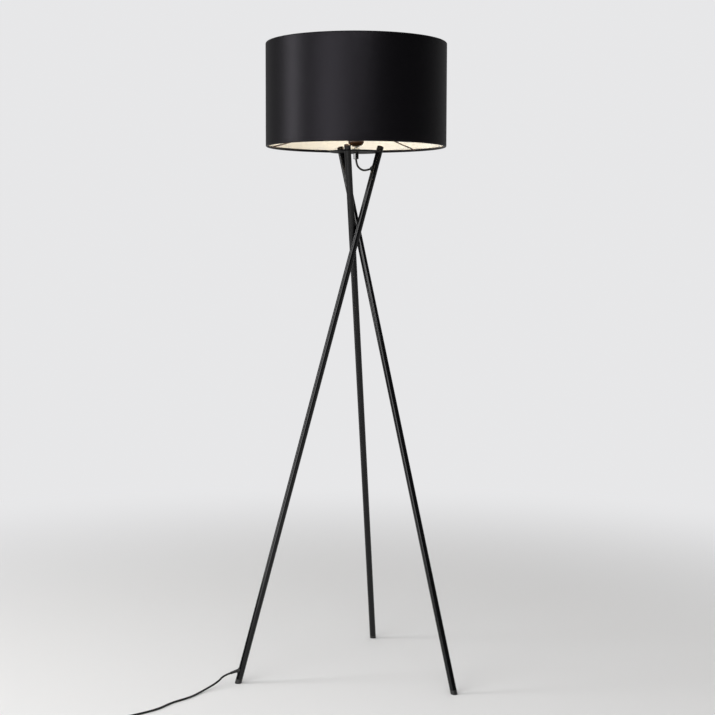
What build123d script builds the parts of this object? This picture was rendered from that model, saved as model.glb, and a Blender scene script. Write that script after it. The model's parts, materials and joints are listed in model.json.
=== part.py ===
from build123d import *
import math
import os

# A floor lamp: three steel tubes cross above two thirds of their height, a plate joins their upper ends,
# and a lampholder on the plate carries a bulb and a drum shade. The lead runs down inside the left leg.
# Millimetres. +X is to the right and +Y to the rear, as the lamp is seen from the front, and +Z is up.

# Tubes of the stand
tube_d = 16.5
tube_wall = 1.5
leg_tilt = 15.6
crossing_gap = 0.3
leg_above_plate = 12.0
leg_turns = {"right": 49.0, "rear": 169.0, "left": 289.0}

# Plugs in the tube ends and studs where the tubes touch
plug_stem_len = 14.0
plug_stem_wall = 1.1
plug_clearance = 0.15
plug_fin_t = 1.2
plug_fin_count = 2
foot_collar = 10.0
foot_edge = 0.6
cap_dome_h = 2.6
stud_d = 3.0
stud_reach = 1.0
stud_clearance = 0.1

# Plate that joins the tubes
plate_d = 136.0
plate_t = 3.0
plate_z = 1319.0
plate_edge = 0.8
leg_inset = 9.2
plate_hole_clearance = 0.15

# Lead, its ports in the left leg and its bushes
cord_d = 5.0
cord_sides = 8
cord_clearance = 0.3
port_fall = 14.4
upper_port_down = 36.0
lower_port_z = 34.5
port_neck_d = 8.0
port_clearance = 0.2
bush_flange_d = 12.0
bush_flange_t = 1.3
bush_lip_d = 9.6
bush_lip_t = 0.8
bush_tip_d = 6.6
upper_nose = 3.0
lower_nose = 20.0
lower_groove_count = 3
nose_groove_w = 1.2
nose_groove_step = 3.2
nose_groove_depth = 0.5
lead_offset = 2.8
lead_in_dome = 4.0
upper_bend_r = 5.0
lower_bend_r = 8.0

# Threaded tube through the plate, its nut and washer, and the cord grip below
nipple_d = 10.0
nipple_bore = 7.6
nipple_in_grip = 9.0
thread_clearance = 0.1
washer_d = 24.0
washer_t = 1.2
nut_flats = 17.0
nut_h = 7.0
nut_edge = 0.6
grip_d = 13.0
grip_h = 17.0
grip_edge = 1.0
grip_screw_d = 4.0
grip_screw_head_d = 6.5
grip_screw_head_t = 2.2
grip_screw_up = 5.0
grip_screw_gap = 0.1
slot_w = 0.9
slot_depth = 0.7
screw_clearance = 0.15

# Lampholder, for a bulb with a 27 mm screw cap
holder_gap = 11.0
holder_d = 39.4
holder_wall = 2.0
dome_neck_d = 17.0
dome_neck_h = 2.0
dome_h = 23.0
dome_floor = 5.0
skirt_h = 35.0
skirt_lip = 2.5
skirt_edge = 0.6
core_clearance = 0.3
core_wall = 2.6
core_floor_t = 6.0
core_into_dome = 4.0
core_floor_z = 5.0
shell_t = 0.4
shell_gap = 0.2
shell_h = 20.0
contact_w = 4.0
contact_t = 0.5
contact_rise = 4.0
terminal_d = 3.0
terminal_head_d = 5.5
terminal_head_t = 2.0
terminal_spread = 10.0
terminal_roof = 2.0
core_wire_d = 1.8
wire_sides = 6
core_wire_spread = 2.4
core_wire_rise = 3.5
contact_foot = 9.0
contact_knee = 4.5
contact_tip = 3.0

# Bulb
bulb_cap_d = 26.4
bulb_cap_h = 22.0
bulb_cap_wall = 0.4
bulb_glass_d = 60.0
bulb_len = 107.0
bulb_glass_wall = 0.9
bulb_neck_d = 25.2
bulb_neck_in_cap = 6.0
bulb_neck_h = 4.0
bulb_tip_d = 9.0
bulb_tip_h = 1.4
bulb_tip_round = 0.84
bulb_insulator_h = 4.2
bulb_contact_gap = 0.3

# Rings that clamp the shade
shade_ring_d = 54.0
shade_ring_h = 7.0
shade_ring_notch_count = 12
shade_ring_notch_d = 2.4
ring_thread_clearance = 0.05
fitter_gap = 0.2

# Shade
shade_d = 450.0
shade_h = 255.0
shade_below_holder = 1.5
cover_t = 0.8
lining_t = 0.6
glue_gap = 0.3
ring_wire_d = 3.5
hem_gap = 0.3
hem_lean = 55.0
seam_w = 10.0
seam_t = 0.5
arm_d = 3.2
arm_turns = [45.8, 165.8, 285.8]
arm_rise = 46.0
arm_slot_clearance = 0.3
fitter_ring_d = 62.0
fitter_ring_t = 1.6
fitter_clearance = 0.3
arm_seat_gap = 0.3

# Foot switch on the cord
switch_at = (-548.0, -470.0)
switch_d = 62.0
switch_h = 19.0
switch_foot_t = 1.2
switch_foot_d = 9.0
switch_foot_circle = 40.0
switch_split_z = 8.0
switch_wall = 2.0
switch_edge = 4.0
switch_dome_drop = 5.0
button_d = 24.0
button_stand = 4.0
button_travel = 3.0
button_clearance = 0.4
button_flange = 2.2
button_flange_t = 2.0
button_wall = 2.0
button_crown = 1.5
stop_gap = 0.3
insert_d = 20.0
insert_h = 5.4
spring_d = 10.0
spring_wire = 0.9
spring_turn_count = 4
spring_gap = 0.2
relief_len = 16.0
relief_d = 9.0
relief_tip_d = 6.6
relief_in = 3.0
relief_collar_d = 11.0
relief_collar_t = 1.6
relief_groove_count = 2
switch_screw_d = 3.0
switch_screw_head_d = 5.4
switch_screw_head_t = 1.8
switch_screw_grip = 5.4
switch_screw_spread = 42.0
switch_screw_sunk = 0.2
shoulder_in = 1.9
shoulder_up = 0.4
overlap = 0.01

# Coil of the cord that isn't laid out, wound in two layers
coil_at = (-465.0, -512.0)
coil_middle_d = 60.0
coil_turn_count = 6
coil_pitch = 5.6
coil_layer = 5.6
coil_floor_gap = 1.1
coil_start_turn = -90.0
coil_join = 5.0

# Straight stretches of the cord beside what holds it
straight_at_port = 20.0
straight_at_switch = 14.0
straight_before_coil = 16.0
straight_after_coil = 12.0
straight_at_plug = 13.0
run_share = 0.45

# Strap round the coil
tie_w = 8.0
tie_t = 0.8
tie_gap = 0.5

# Plug with two round pins
plug_at_x = -384.0
plug_w = 35.0
plug_thick = 13.7
plug_len = 36.0
plug_straight_len = 20.0
plug_neck_d = 10.5
plug_relief_len = 24.0
plug_relief_d = 9.0
plug_groove_count = 4
pin_d = 4.0
pin_len = 19.0
pin_spread = 18.6
pin_sunk = 6.0
pin_clearance = 0.05
pin_round = 1.6

# Places on the lamp's own axis that follow from the sizes
tilt = math.radians(leg_tilt)
tube_r = tube_d / 2
bore_r = tube_r - tube_wall
waist_r = (tube_d + crossing_gap) * math.sqrt(1 + math.tan(tilt) ** 2 / 4) / math.sqrt(3)
plate_top = plate_z + plate_t
top_spread = math.sqrt((plate_d / 2 - leg_inset) ** 2 - waist_r**2)
crossing_z = plate_top - top_spread / math.tan(tilt)
holder_z = plate_top + holder_gap
leg_top_z = plate_top + leg_above_plate
upper_port_z = plate_z - upper_port_down
shade_z = holder_z - shade_below_holder
skirt_z = holder_z + dome_h
holder_top = skirt_z + skirt_h
core_seat_z = skirt_z + core_floor_z
terminal_head_z = core_seat_z - core_floor_t - terminal_head_t
terminal_hole_z = core_seat_z - terminal_roof
lead_end_z = holder_z + dome_floor + lead_in_dome
bulb_z = core_seat_z + contact_rise + bulb_contact_gap
hem_r = ring_wire_d / 2 + hem_gap + cover_t / 2
shade_wire_r = shade_d / 2 - cover_t / 2 - hem_r
lower_wire_z = shade_z + cover_t / 2 + hem_r
upper_wire_z = shade_z + shade_h - cover_t / 2 - hem_r
fitter_z = lower_wire_z + arm_rise
cord_r = cord_d / 2


def along(z):
    """Distance along a leg's axis from the crossing to the height z."""
    return (z - crossing_z) / math.cos(tilt)


def leg_plane(turn):
    """Plane across a leg at the crossing: its Z runs up the leg, its X leans the way the leg leans."""
    a = math.radians(turn)
    across = Vector(-math.sin(a), math.cos(a), 0)
    up = Vector(0, 0, 1)
    origin = Vector(waist_r * math.cos(a), waist_r * math.sin(a), crossing_z)
    x_dir = across * math.cos(tilt) - up * math.sin(tilt)
    z_dir = across * math.sin(tilt) + up * math.cos(tilt)
    return Plane(origin=origin, x_dir=x_dir, z_dir=z_dir)


def leg_point(turn, z):
    """Point on a leg's axis at the height z."""
    plane = leg_plane(turn)
    return plane.origin + plane.z_dir * along(z)


def rod(radius, low, high):
    """Cylinder on the Z axis between two heights."""
    return Pos(0, 0, low) * Cylinder(radius, high - low, align=(Align.CENTER, Align.CENTER, Align.MIN))


def pipe(outer, inner, low, high):
    """Hollow cylinder on the Z axis between two heights."""
    return rod(outer, low, high) - rod(inner, low, high)


def turned(*lines):
    """Solid of revolution about Z, from lines in the XZ plane that close an outline."""
    return revolve(Plane.XZ * make_face(Curve() + list(lines)), Axis.Z)


def turned_points(*points):
    """Solid of revolution about Z, from corners (radius, height)."""
    return turned(Polyline(*points, close=True))


# Ports of the lead in the left leg: the upper one faces the lamp's axis, the lower one faces away from it
def port_planes():
    """Planes at the two ports, on the leg's axis, with Z along the port and outwards."""
    fall = math.radians(port_fall)
    upper = leg_point(leg_turns["left"], upper_port_z)
    lower = leg_point(leg_turns["left"], lower_port_z)
    inward = Vector(-upper.X, -upper.Y, 0).normalized()
    lean = leg_plane(leg_turns["left"]).z_dir
    outward = Vector(-lean.X, -lean.Y, 0).normalized()
    drop = Vector(0, 0, -math.sin(fall))
    return (
        Plane(origin=upper, z_dir=inward * math.cos(fall) + drop),
        Plane(origin=lower, z_dir=outward * math.cos(fall) + drop),
    )


upper_port, lower_port = port_planes()
port_surface = tube_r / math.cos(math.radians(leg_tilt + port_fall))
cord_exit = lower_port.origin + lower_port.z_dir * (port_surface + lower_nose)


# The lamp's axis stands off the middle of its box, because three feet reach unevenly far
def disc_reach(centre, radius, normal):
    """Lowest and highest X and Y of a flat disc."""
    wide_x = radius * math.sqrt(1 - normal.X**2)
    wide_y = radius * math.sqrt(1 - normal.Y**2)
    return centre.X - wide_x, centre.X + wide_x, centre.Y - wide_y, centre.Y + wide_y


def sole_reach(turn):
    """Lowest and highest X and Y of a foot's sole, an ellipse that is longer the way the leg leans."""
    a = math.radians(turn)
    centre = leg_point(turn, 0)
    long_r = tube_r / math.cos(tilt)
    wide_x = math.hypot(long_r * math.sin(a), tube_r * math.cos(a))
    wide_y = math.hypot(long_r * math.cos(a), tube_r * math.sin(a))
    return centre.X - wide_x, centre.X + wide_x, centre.Y - wide_y, centre.Y + wide_y


def middle_of_box():
    """Middle of the box round the shade, the feet and the cord's way out, seen from above."""
    reaches = [sole_reach(turn) for turn in leg_turns.values()]
    reaches.append(disc_reach(cord_exit, bush_tip_d / 2, lower_port.z_dir))
    reaches.append(disc_reach(Vector(0, 0, 0), shade_d / 2, Vector(0, 0, 1)))
    low_x, high_x, low_y, high_y = zip(*reaches)
    return (min(low_x) + max(high_x)) / 2, (min(low_y) + max(high_y)) / 2


box_x, box_y = middle_of_box()
axis_at = Vector(-box_x, -box_y, 0)


def crossing_studs():
    """Short studs that pin each tube to the next where they touch."""
    planes = [leg_plane(turn) for turn in leg_turns.values()]
    studs = []
    for first, second in zip(planes, planes[1:] + planes[:1]):
        apart = second.origin - first.origin
        normal = first.z_dir.cross(second.z_dir)
        scale = normal.dot(normal)
        near = first.origin + first.z_dir * (apart.cross(second.z_dir).dot(normal) / scale)
        far = second.origin + second.z_dir * (apart.cross(first.z_dir).dot(normal) / scale)
        studs.append(Plane(origin=(near + far) / 2, z_dir=far - near))
    return studs


stud_len = 2 * (tube_wall + stud_reach) + crossing_gap


def leg(turn, ports=()):
    """One tube, open at both ends, with stud holes and any ports for the lead."""
    plane = leg_plane(turn)
    tube = plane * pipe(tube_r, bore_r, along(0) + foot_collar, along(leg_top_z))
    hole_r = stud_d / 2 + stud_clearance
    for stud in crossing_studs():
        tube -= stud * Cylinder(hole_r, stud_len + 2 * stud_clearance)
    for port in ports:
        tube -= port * rod(port_neck_d / 2 + port_clearance, 0, tube_d)
    return tube


def plug_stem(seat):
    """Stem of a plug below its seat height, hollow, with fins that grip the tube's bore."""
    fin_r = bore_r - plug_clearance
    core_r = fin_r - plug_stem_wall / 2
    stem = pipe(core_r, core_r - plug_stem_wall, seat - plug_stem_len, seat)
    step = plug_stem_len / plug_fin_count
    for i in range(plug_fin_count):
        low = seat - plug_stem_len + i * step
        stem += pipe(fin_r, core_r - plug_stem_wall, low, low + plug_fin_t)
    return stem


def foot(turn):
    """Foot plugged into the tube's lower end, with a sole cut level with the floor."""
    seat = along(0) + foot_collar
    collar = leg_plane(turn) * rod(tube_r, along(0) - foot_collar, seat)
    level = Box(4 * tube_d, 4 * tube_d, 2 * tube_d, align=(Align.CENTER, Align.CENTER, Align.MIN))
    ground = Pos(*leg_point(turn, 0)) * level
    sole = collar & ground
    sole = chamfer(sole.faces().sort_by(Axis.Z)[0].edges(), foot_edge)
    return sole + leg_plane(turn) * Rot(180, 0, 0) * plug_stem(-seat)


def leg_caps():
    """Domed plugs in the tubes' upper ends."""
    seat = along(leg_top_z)
    dome_r = (tube_r**2 + cap_dome_h**2) / (2 * cap_dome_h)
    dome = Pos(0, 0, seat + cap_dome_h - dome_r) * Sphere(dome_r)
    cap = dome & rod(tube_r, seat, seat + cap_dome_h)
    cap += plug_stem(seat)
    return [leg_plane(turn) * cap for turn in leg_turns.values()]


def top_plate():
    """Disc with a slanting hole for each tube and a middle hole for the threaded tube."""
    plate = chamfer(rod(plate_d / 2, plate_z, plate_top).edges(), plate_edge)
    plate -= rod(nipple_d / 2 + thread_clearance, plate_z, plate_top)
    for turn in leg_turns.values():
        hole = rod(tube_r + plate_hole_clearance, along(plate_z) - tube_d, along(plate_top) + tube_d)
        plate -= leg_plane(turn) * hole
    return plate


def nose_grooves(tip_r, root_r, length, count):
    """Rings to cut round a tapered nose, evenly down from its tip at height zero."""
    rings = []
    for i in range(count):
        down = (i + 1) * nose_groove_step
        surface_r = tip_r + (root_r - tip_r) * down / length
        rings.append(pipe(2 * root_r, surface_r - nose_groove_depth, -down, nose_groove_w - down))
    return rings


def port_bush(port, nose, grooves):
    """Rubber bush in a port: neck, flange that follows the tube, lip inside and a tapered nose."""
    place = leg_plane(leg_turns["left"])
    reach = 2 * tube_d
    low = place.to_local_coords(port.origin).Z - reach
    high = low + 2 * reach
    outer_r = tube_r + bush_flange_t
    lip_r = bore_r - bush_lip_t
    gap = port_clearance / 2
    bush = (port * rod(port_neck_d / 2, 0, reach)) & (place * pipe(outer_r, lip_r, low, high))
    bush += (port * rod(bush_flange_d / 2, 0, reach)) & (place * pipe(outer_r, tube_r + gap, low, high))
    bush += (port * rod(bush_lip_d / 2, 0, reach)) & (place * pipe(bore_r - gap, lip_r, low, high))
    cone = Cone(port_neck_d / 2, bush_tip_d / 2, nose, align=(Align.CENTER, Align.CENTER, Align.MIN))
    bush += port * Pos(0, 0, port_surface) * cone
    for groove in nose_grooves(bush_tip_d / 2, port_neck_d / 2, nose, grooves):
        bush -= port * Pos(0, 0, port_surface + nose) * groove
    bush -= port * rod(cord_r + cord_clearance, 0, reach + nose)
    return bush


# Threaded tube, nut, washer and cord grip
def nipple():
    low = plate_z - nipple_in_grip
    return pipe(nipple_d / 2, nipple_bore / 2, low, holder_z + dome_floor)


def plate_washer():
    return pipe(washer_d / 2, nipple_d / 2 + thread_clearance, plate_top, plate_top + washer_t)


def plate_nut():
    low = plate_top + washer_t
    hexagon = extrude(RegularPolygon(nut_flats / 2, 6, major_radius=False), nut_h)
    corner_r = nut_flats / math.sqrt(3) - nut_edge / 2
    round_r = math.hypot(corner_r, nut_h / 2 - nut_edge / 2)
    nut = (Pos(0, 0, low) * hexagon) & (Pos(0, 0, low + nut_h / 2) * Sphere(round_r))
    return nut - rod(nipple_d / 2 + thread_clearance, low, low + nut_h)


def cord_grip():
    """Round body screwed on the threaded tube's lower end, with a cross hole for the clamping screw."""
    low = plate_z - grip_h
    body = rod(grip_d / 2, low, plate_z)
    body = fillet(body.edges().sort_by(Axis.Z)[0], grip_edge)
    body -= rod(nipple_d / 2 + thread_clearance, plate_z - nipple_in_grip, plate_z)
    body -= rod(cord_r + cord_clearance, low, plate_z)
    hole = Rot(-90, 0, 0) * rod(grip_screw_d / 2 + screw_clearance, 0, grip_d)
    return body - Pos(0, 0, low + grip_screw_up) * hole


def grip_screw():
    """Clamping screw at the rear of the grip, with a slotted head."""
    tip = cord_r + grip_screw_gap
    head = grip_d / 2
    screw = rod(grip_screw_d / 2, tip, head) + rod(grip_screw_head_d / 2, head, head + grip_screw_head_t)
    screw -= Pos(0, 0, head + grip_screw_head_t) * Box(grip_screw_head_d, slot_w, 2 * slot_depth)
    return Pos(0, 0, plate_z - grip_h + grip_screw_up) * Rot(-90, 0, 0) * screw


# Lampholder
def holder_dome():
    """Rounded lower cap of the lampholder, screwed on the threaded tube."""
    outer_r = holder_d / 2
    inner_r = outer_r - holder_wall
    neck_r = dome_neck_d / 2
    bore = nipple_d / 2 + thread_clearance
    bend = outer_r - neck_r
    low = holder_z + dome_neck_h
    inner_bend = bend - holder_wall / 2
    floor_z = holder_z + dome_floor
    return turned(
        Polyline((bore, holder_z), (neck_r, holder_z), (neck_r, low)),
        JernArc((neck_r, low), (1, 0), bend, 90),
        Polyline((outer_r, low + bend), (outer_r, skirt_z), (inner_r, skirt_z)),
        Line((inner_r, skirt_z), (inner_r, floor_z + inner_bend)),
        JernArc((inner_r, floor_z + inner_bend), (0, -1), inner_bend, -90),
        Polyline((inner_r - inner_bend, floor_z), (bore, floor_z), (bore, holder_z)),
    )


def holder_skirt():
    """Outer sleeve of the lampholder, turned in at its mouth to hold the core down."""
    outer_r = holder_d / 2
    inner_r = outer_r - holder_wall
    mouth_r = bulb_cap_d / 2 + shell_gap + shell_t + shell_gap
    sleeve = pipe(outer_r, inner_r, skirt_z, holder_top)
    sleeve += pipe(outer_r, mouth_r, holder_top - skirt_lip, holder_top)
    return chamfer(sleeve.edges().sort_by(Axis.Z)[-1], skirt_edge)


core_r = holder_d / 2 - holder_wall - core_clearance
cup_r = bulb_cap_d / 2 + 2 * shell_gap + shell_t


def terminals():
    """Places of the two terminal screws under the core."""
    return [Pos(side * terminal_spread, 0, 0) for side in (-1, 1)]


def holder_core():
    """Insulating core: a cup for the bulb's cap on a thick floor that carries the terminals."""
    low = skirt_z - core_into_dome
    high = holder_top - skirt_lip
    core = rod(core_r, low, high) - rod(cup_r, core_seat_z, high)
    core -= rod(core_r - core_wall, low, core_seat_z - core_floor_t)
    for place in terminals():
        core -= place * rod(terminal_d / 2 + screw_clearance, low, terminal_hole_z)
    return core


def screw_shell():
    """Thin metal sleeve in the core that the bulb's cap turns in."""
    inner = bulb_cap_d / 2 + shell_gap
    high = holder_top - skirt_lip
    return pipe(inner + shell_t, inner, high - shell_h, high)


def centre_contact():
    """Springy strip on the core's floor, bent up under the bulb's tip."""
    low = core_seat_z + contact_t / 2
    top = core_seat_z + contact_rise - contact_t / 2
    knee = (contact_knee, (low + top) / 2)
    path = Polyline((-contact_foot, low), (contact_knee - contact_t, low), knee, (-contact_tip, top))
    return extrude(Plane.XZ * trace(path, contact_t), contact_w / 2, both=True)


def terminal_screws():
    """Two screws driven up into the core from inside the dome."""
    head_z = core_seat_z - core_floor_t
    screw = rod(terminal_d / 2, head_z, terminal_hole_z - screw_clearance)
    screw += rod(terminal_head_d / 2, head_z - terminal_head_t, head_z)
    screw -= Pos(0, 0, head_z - terminal_head_t) * Box(terminal_head_d, slot_w, 2 * slot_depth)
    return [place * screw for place in terminals()]


def core_wires():
    """The lead's two cores, bent out from its end to the terminal screws."""
    wires = []
    for side in (-1, 1):
        start = Vector(side * core_wire_spread / 2, 0, lead_end_z)
        rise = start + Vector(0, 0, core_wire_rise)
        end = Vector(side * terminal_spread, 0, terminal_head_z)
        path = FilletPolyline(start, rise, end - Vector(0, 0, core_wire_rise), end, radius=core_wire_d)
        section = Plane(origin=start, z_dir=(0, 0, 1)) * RegularPolygon(core_wire_d / 2, wire_sides)
        wires.append(sweep(section, path=path))
    return wires


# Bulb
def glass_outline(shrink, low):
    """Outline of the pear-shaped glass: neck, straight flank and round head."""
    head_r = bulb_glass_d / 2
    head_z = bulb_z + bulb_len - head_r
    r = head_r - shrink
    neck = (bulb_neck_d / 2 - shrink, bulb_z + bulb_cap_h + bulb_insulator_h + bulb_neck_h)
    dx, dz = -neck[0], head_z - neck[1]
    far = math.hypot(dx, dz)
    turn = math.atan2(-dz, -dx) + math.acos(r / far)
    touch = (r * math.cos(turn), head_z + r * math.sin(turn))
    top = (0, head_z + r)
    middle = (turn + math.pi / 2) / 2
    by = (r * math.cos(middle), head_z + r * math.sin(middle))
    return [
        Polyline((0, low), (neck[0], low), neck, touch),
        ThreePointArc(touch, by, top),
        Line(top, (0, low)),
    ]


def bulb_glass():
    low = bulb_z + bulb_insulator_h + bulb_cap_h - bulb_neck_in_cap
    return turned(*glass_outline(0, low)) - turned(*glass_outline(bulb_glass_wall, low))


def bulb_cap():
    """Metal screw cap, turned in over the insulator."""
    low = bulb_z + bulb_insulator_h
    outer = bulb_cap_d / 2
    cap = pipe(outer, outer - bulb_cap_wall, low, low + bulb_cap_h)
    return cap + pipe(outer, outer - 3 * bulb_cap_wall, low, low + bulb_cap_wall)


def bulb_insulator():
    low = bulb_z + bulb_tip_h
    high = bulb_z + bulb_insulator_h
    return turned_points(
        (0, low), (bulb_tip_d / 2, low), (bulb_cap_d / 2 - bulb_cap_wall, high), (0, high)
    )


def bulb_tip():
    tip = rod(bulb_tip_d / 2, bulb_z, bulb_z + bulb_tip_h)
    return fillet(tip.edges().sort_by(Axis.Z)[0], bulb_tip_round)


# Shade and what clamps it
def shade_ring(low):
    """Threaded ring with grip notches round its edge."""
    bore = holder_d / 2 + ring_thread_clearance
    ring = pipe(shade_ring_d / 2, bore, low, low + shade_ring_h)
    notch = Pos(shade_ring_d / 2, 0, 0) * rod(shade_ring_notch_d / 2, low, low + shade_ring_h)
    for i in range(shade_ring_notch_count):
        ring -= Rot(0, 0, 360 / shade_ring_notch_count * i) * notch
    return ring


def fitter_ring():
    """Flat ring that sits between the two clamping rings and carries the arms."""
    low = fitter_z - fitter_ring_t / 2
    return pipe(fitter_ring_d / 2, holder_d / 2 + fitter_clearance, low, low + fitter_ring_t)


def arm_plane(turn):
    """Plane at an arm's outer end on the lower wire, with Z along the arm."""
    a = math.radians(turn)
    out = Vector(math.cos(a), math.sin(a), 0)
    outer = out * shade_wire_r + Vector(0, 0, lower_wire_z)
    inner = out * (fitter_ring_d / 2 + arm_seat_gap) + Vector(0, 0, fitter_z)
    return Plane(origin=outer, z_dir=inner - outer), (inner - outer).length


def spider():
    """Lower wire of the shade with its three arms welded on."""
    arms = []
    for turn in arm_turns:
        plane, length = arm_plane(turn)
        arms.append(plane * rod(arm_d / 2, 0, length))
    return Pos(0, 0, lower_wire_z) * Torus(shade_wire_r, ring_wire_d / 2) + arms


def top_ring():
    return Pos(0, 0, upper_wire_z) * Torus(shade_wire_r, ring_wire_d / 2)


def hem_path():
    """Middle line of the cover's section: fold, round the lower wire, wall, round the upper wire, fold."""
    lean = math.radians(hem_lean)
    wall_r = shade_d / 2 - cover_t / 2
    fold_r = shade_d / 2 - cover_t - glue_gap - lining_t - hem_gap - cover_t / 2
    fold_len = (fold_r - shade_wire_r + hem_r * math.cos(lean)) / math.sin(lean)
    start_r = shade_wire_r - hem_r * math.cos(lean)
    start_up = hem_r * math.sin(lean)
    tip_up = start_up + fold_len * math.cos(lean)
    return [
        Line((fold_r, lower_wire_z + tip_up), (start_r, lower_wire_z + start_up)),
        ThreePointArc(
            (start_r, lower_wire_z + start_up), (shade_wire_r, lower_wire_z - hem_r), (wall_r, lower_wire_z)
        ),
        Line((wall_r, lower_wire_z), (wall_r, upper_wire_z)),
        ThreePointArc(
            (wall_r, upper_wire_z), (shade_wire_r, upper_wire_z + hem_r), (start_r, upper_wire_z - start_up)
        ),
        Line((start_r, upper_wire_z - start_up), (fold_r, upper_wire_z - tip_up)),
    ]


def shade_cover():
    """Drum cover with hems folded over both wires, slots for the arms and a lapped seam at the rear."""
    section = Plane.XZ * trace(hem_path(), cover_t)
    cover = revolve(section, Axis.Z)
    gap_w = arm_d + 2 * arm_slot_clearance
    for turn in arm_turns:
        block = Box(4 * hem_r, gap_w, arm_rise, align=(Align.MAX, Align.CENTER, Align.MIN))
        cover -= Rot(0, 0, turn) * Pos(shade_wire_r, 0, lower_wire_z - gap_w / 2) * block
    seam_turn = math.degrees(seam_w / (shade_d / 2))
    seam_at = Plane.XZ * Pos(shade_d / 2 + (seam_t - cover_t) / 2, (lower_wire_z + upper_wire_z) / 2)
    seam_face = seam_at * Rectangle(seam_t + cover_t, upper_wire_z - lower_wire_z)
    seam = revolve(seam_face, Axis.Z, seam_turn)
    return cover + Rot(0, 0, 90 - seam_turn / 2) * seam


def shade_lining():
    """White lining inside the cover, between the two wires."""
    outer = shade_d / 2 - cover_t - glue_gap
    low = lower_wire_z + ring_wire_d / 2 + hem_gap
    high = upper_wire_z - ring_wire_d / 2 - hem_gap
    return pipe(outer, outer - lining_t, low, high)


# Cord: points chosen along its route, with arcs as large as the runs allow
def bend_radii(points):
    """Radius at each inner point: a share of the shorter run over the tangent of half the turn."""
    radii = []
    for before, here, after in zip(points, points[1:], points[2:]):
        first, second = here - before, after - here
        half = math.radians(first.get_angle(second)) / 2
        radii.append(run_share * min(first.length, second.length) / math.tan(half))
    return radii


def swept_cord(name, path):
    """Cord along a path, with a section of a few flats; prints its length and compares its volume."""
    section = Plane(origin=path @ 0, z_dir=path % 0) * RegularPolygon(cord_r, cord_sides)
    tube = sweep(section, path=path)
    share = tube.volume / (section.area * path.length)
    print(name, "length", round(path.length, 1), "volume share", round(share, 4))
    return tube


def cord_tube(name, points, radii=None):
    """Cord along straight runs joined by tangent arcs; prints its radii."""
    points = [Vector(*p) for p in points]
    radii = radii or bend_radii(points)
    print(name, "radii", [round(r, 1) for r in radii])
    return swept_cord(name, FilletPolyline(*points, radius=radii))


def inner_lead():
    """Lead from inside the lampholder through the grip, in a loop, and down inside the left leg."""
    upper_back = upper_port.origin - upper_port.z_dir * lead_offset
    lower_back = lower_port.origin - lower_port.z_dir * lead_offset
    side = math.hypot(upper_port.origin.X, upper_port.origin.Y)
    loop_z = upper_port_z - side * math.tan(math.radians(port_fall))
    points = [
        Vector(0, 0, lead_end_z),
        Vector(0, 0, loop_z),
        upper_back,
        lower_back,
        cord_exit,
    ]
    loop_r = bend_radii(points)[0]
    return cord_tube("inner_lead", points, [loop_r, upper_bend_r, lower_bend_r])


switch_x, switch_y = switch_at
switch_in = Vector(switch_x, switch_y + switch_d / 2 + relief_len, switch_split_z)
switch_out = Vector(switch_x, switch_y - switch_d / 2 - relief_len, switch_split_z)


def coil_point(turns):
    """Point of the coil after so many turns: inwards in the lower layer, outwards in the upper one."""
    a = math.radians(coil_start_turn + 360 * turns)
    outer_r = coil_middle_d / 2 + coil_pitch * coil_turn_count / 4
    r = outer_r - coil_pitch * (coil_turn_count / 2 - abs(turns - coil_turn_count / 2))
    climb = min(1.0, max(0.0, 2 * (turns - coil_turn_count / 2) + 0.5))
    z = coil_floor_gap + cord_r + coil_layer * (1 - math.cos(math.pi * climb)) / 2
    return Vector(coil_at[0] + r * math.cos(a), coil_at[1] + r * math.sin(a), z)


def coil_heading(turns):
    """Direction of the coil after so many turns."""
    step = 0.0005
    return (coil_point(turns + step) - coil_point(turns - step)).normalized()


def biarc(start, start_way, end, end_way):
    """Two arcs that leave one point and reach the other along the given directions."""
    chord = end - start
    ways = start_way + end_way
    a = 2 * (1 - start_way.dot(end_way))
    b = chord.dot(ways)
    reach = (math.sqrt(b * b + a * chord.dot(chord)) - b) / a
    first, second = start + start_way * reach, end - end_way * reach
    middle = (first + second) / 2
    return [
        TangentArc(start, middle, tangent=start_way),
        TangentArc(middle, end, tangent=(second - first).normalized()),
    ]


coil_in = coil_point(0) - coil_heading(0) * coil_join
coil_out = coil_point(coil_turn_count) + coil_heading(coil_turn_count) * coil_join


def cord_coil():
    """The wound part of the cord: one tube on quarter-turn biarcs, in two layers."""
    quarters = coil_turn_count * 4
    edges = [Line(coil_in, coil_point(0))]
    for i in range(quarters):
        a, b = i / 4, (i + 1) / 4
        edges += biarc(coil_point(a), coil_heading(a), coil_point(b), coil_heading(b))
    edges.append(Line(coil_point(coil_turn_count), coil_out))
    print("cord_coil least gap to itself", round(coil_gap(), 2))
    return swept_cord("cord_coil", Wire(edges))


def coil_gap():
    """Least gap between two strands of the coil, measured on points along it."""
    steps = 60
    points = [coil_point(i / steps) for i in range(coil_turn_count * steps + 1)]
    least = coil_middle_d
    for i, p in enumerate(points):
        for q in points[i + steps // 2:]:
            least = min(least, (p - q).length)
    return least - cord_d


def coil_tie():
    """Strap round all the strands, at the side of the coil where both layers lie in line."""
    across = coil_pitch * (coil_turn_count / 2 - 1) + cord_d + 2 * tie_gap
    up = coil_layer + cord_d + 2 * (coil_floor_gap - tie_t)
    middle_r = coil_middle_d / 2
    middle_z = coil_floor_gap + (coil_layer + cord_d) / 2
    outer = RectangleRounded(across + 2 * tie_t, up + 2 * tie_t, cord_r)
    inner = RectangleRounded(across, up, cord_r - tie_t)
    at = Plane(origin=(coil_at[0], coil_at[1] + middle_r, middle_z), x_dir=(0, 1, 0), z_dir=(1, 0, 0))
    return extrude(at * (outer - inner), tie_w / 2, both=True)


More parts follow.
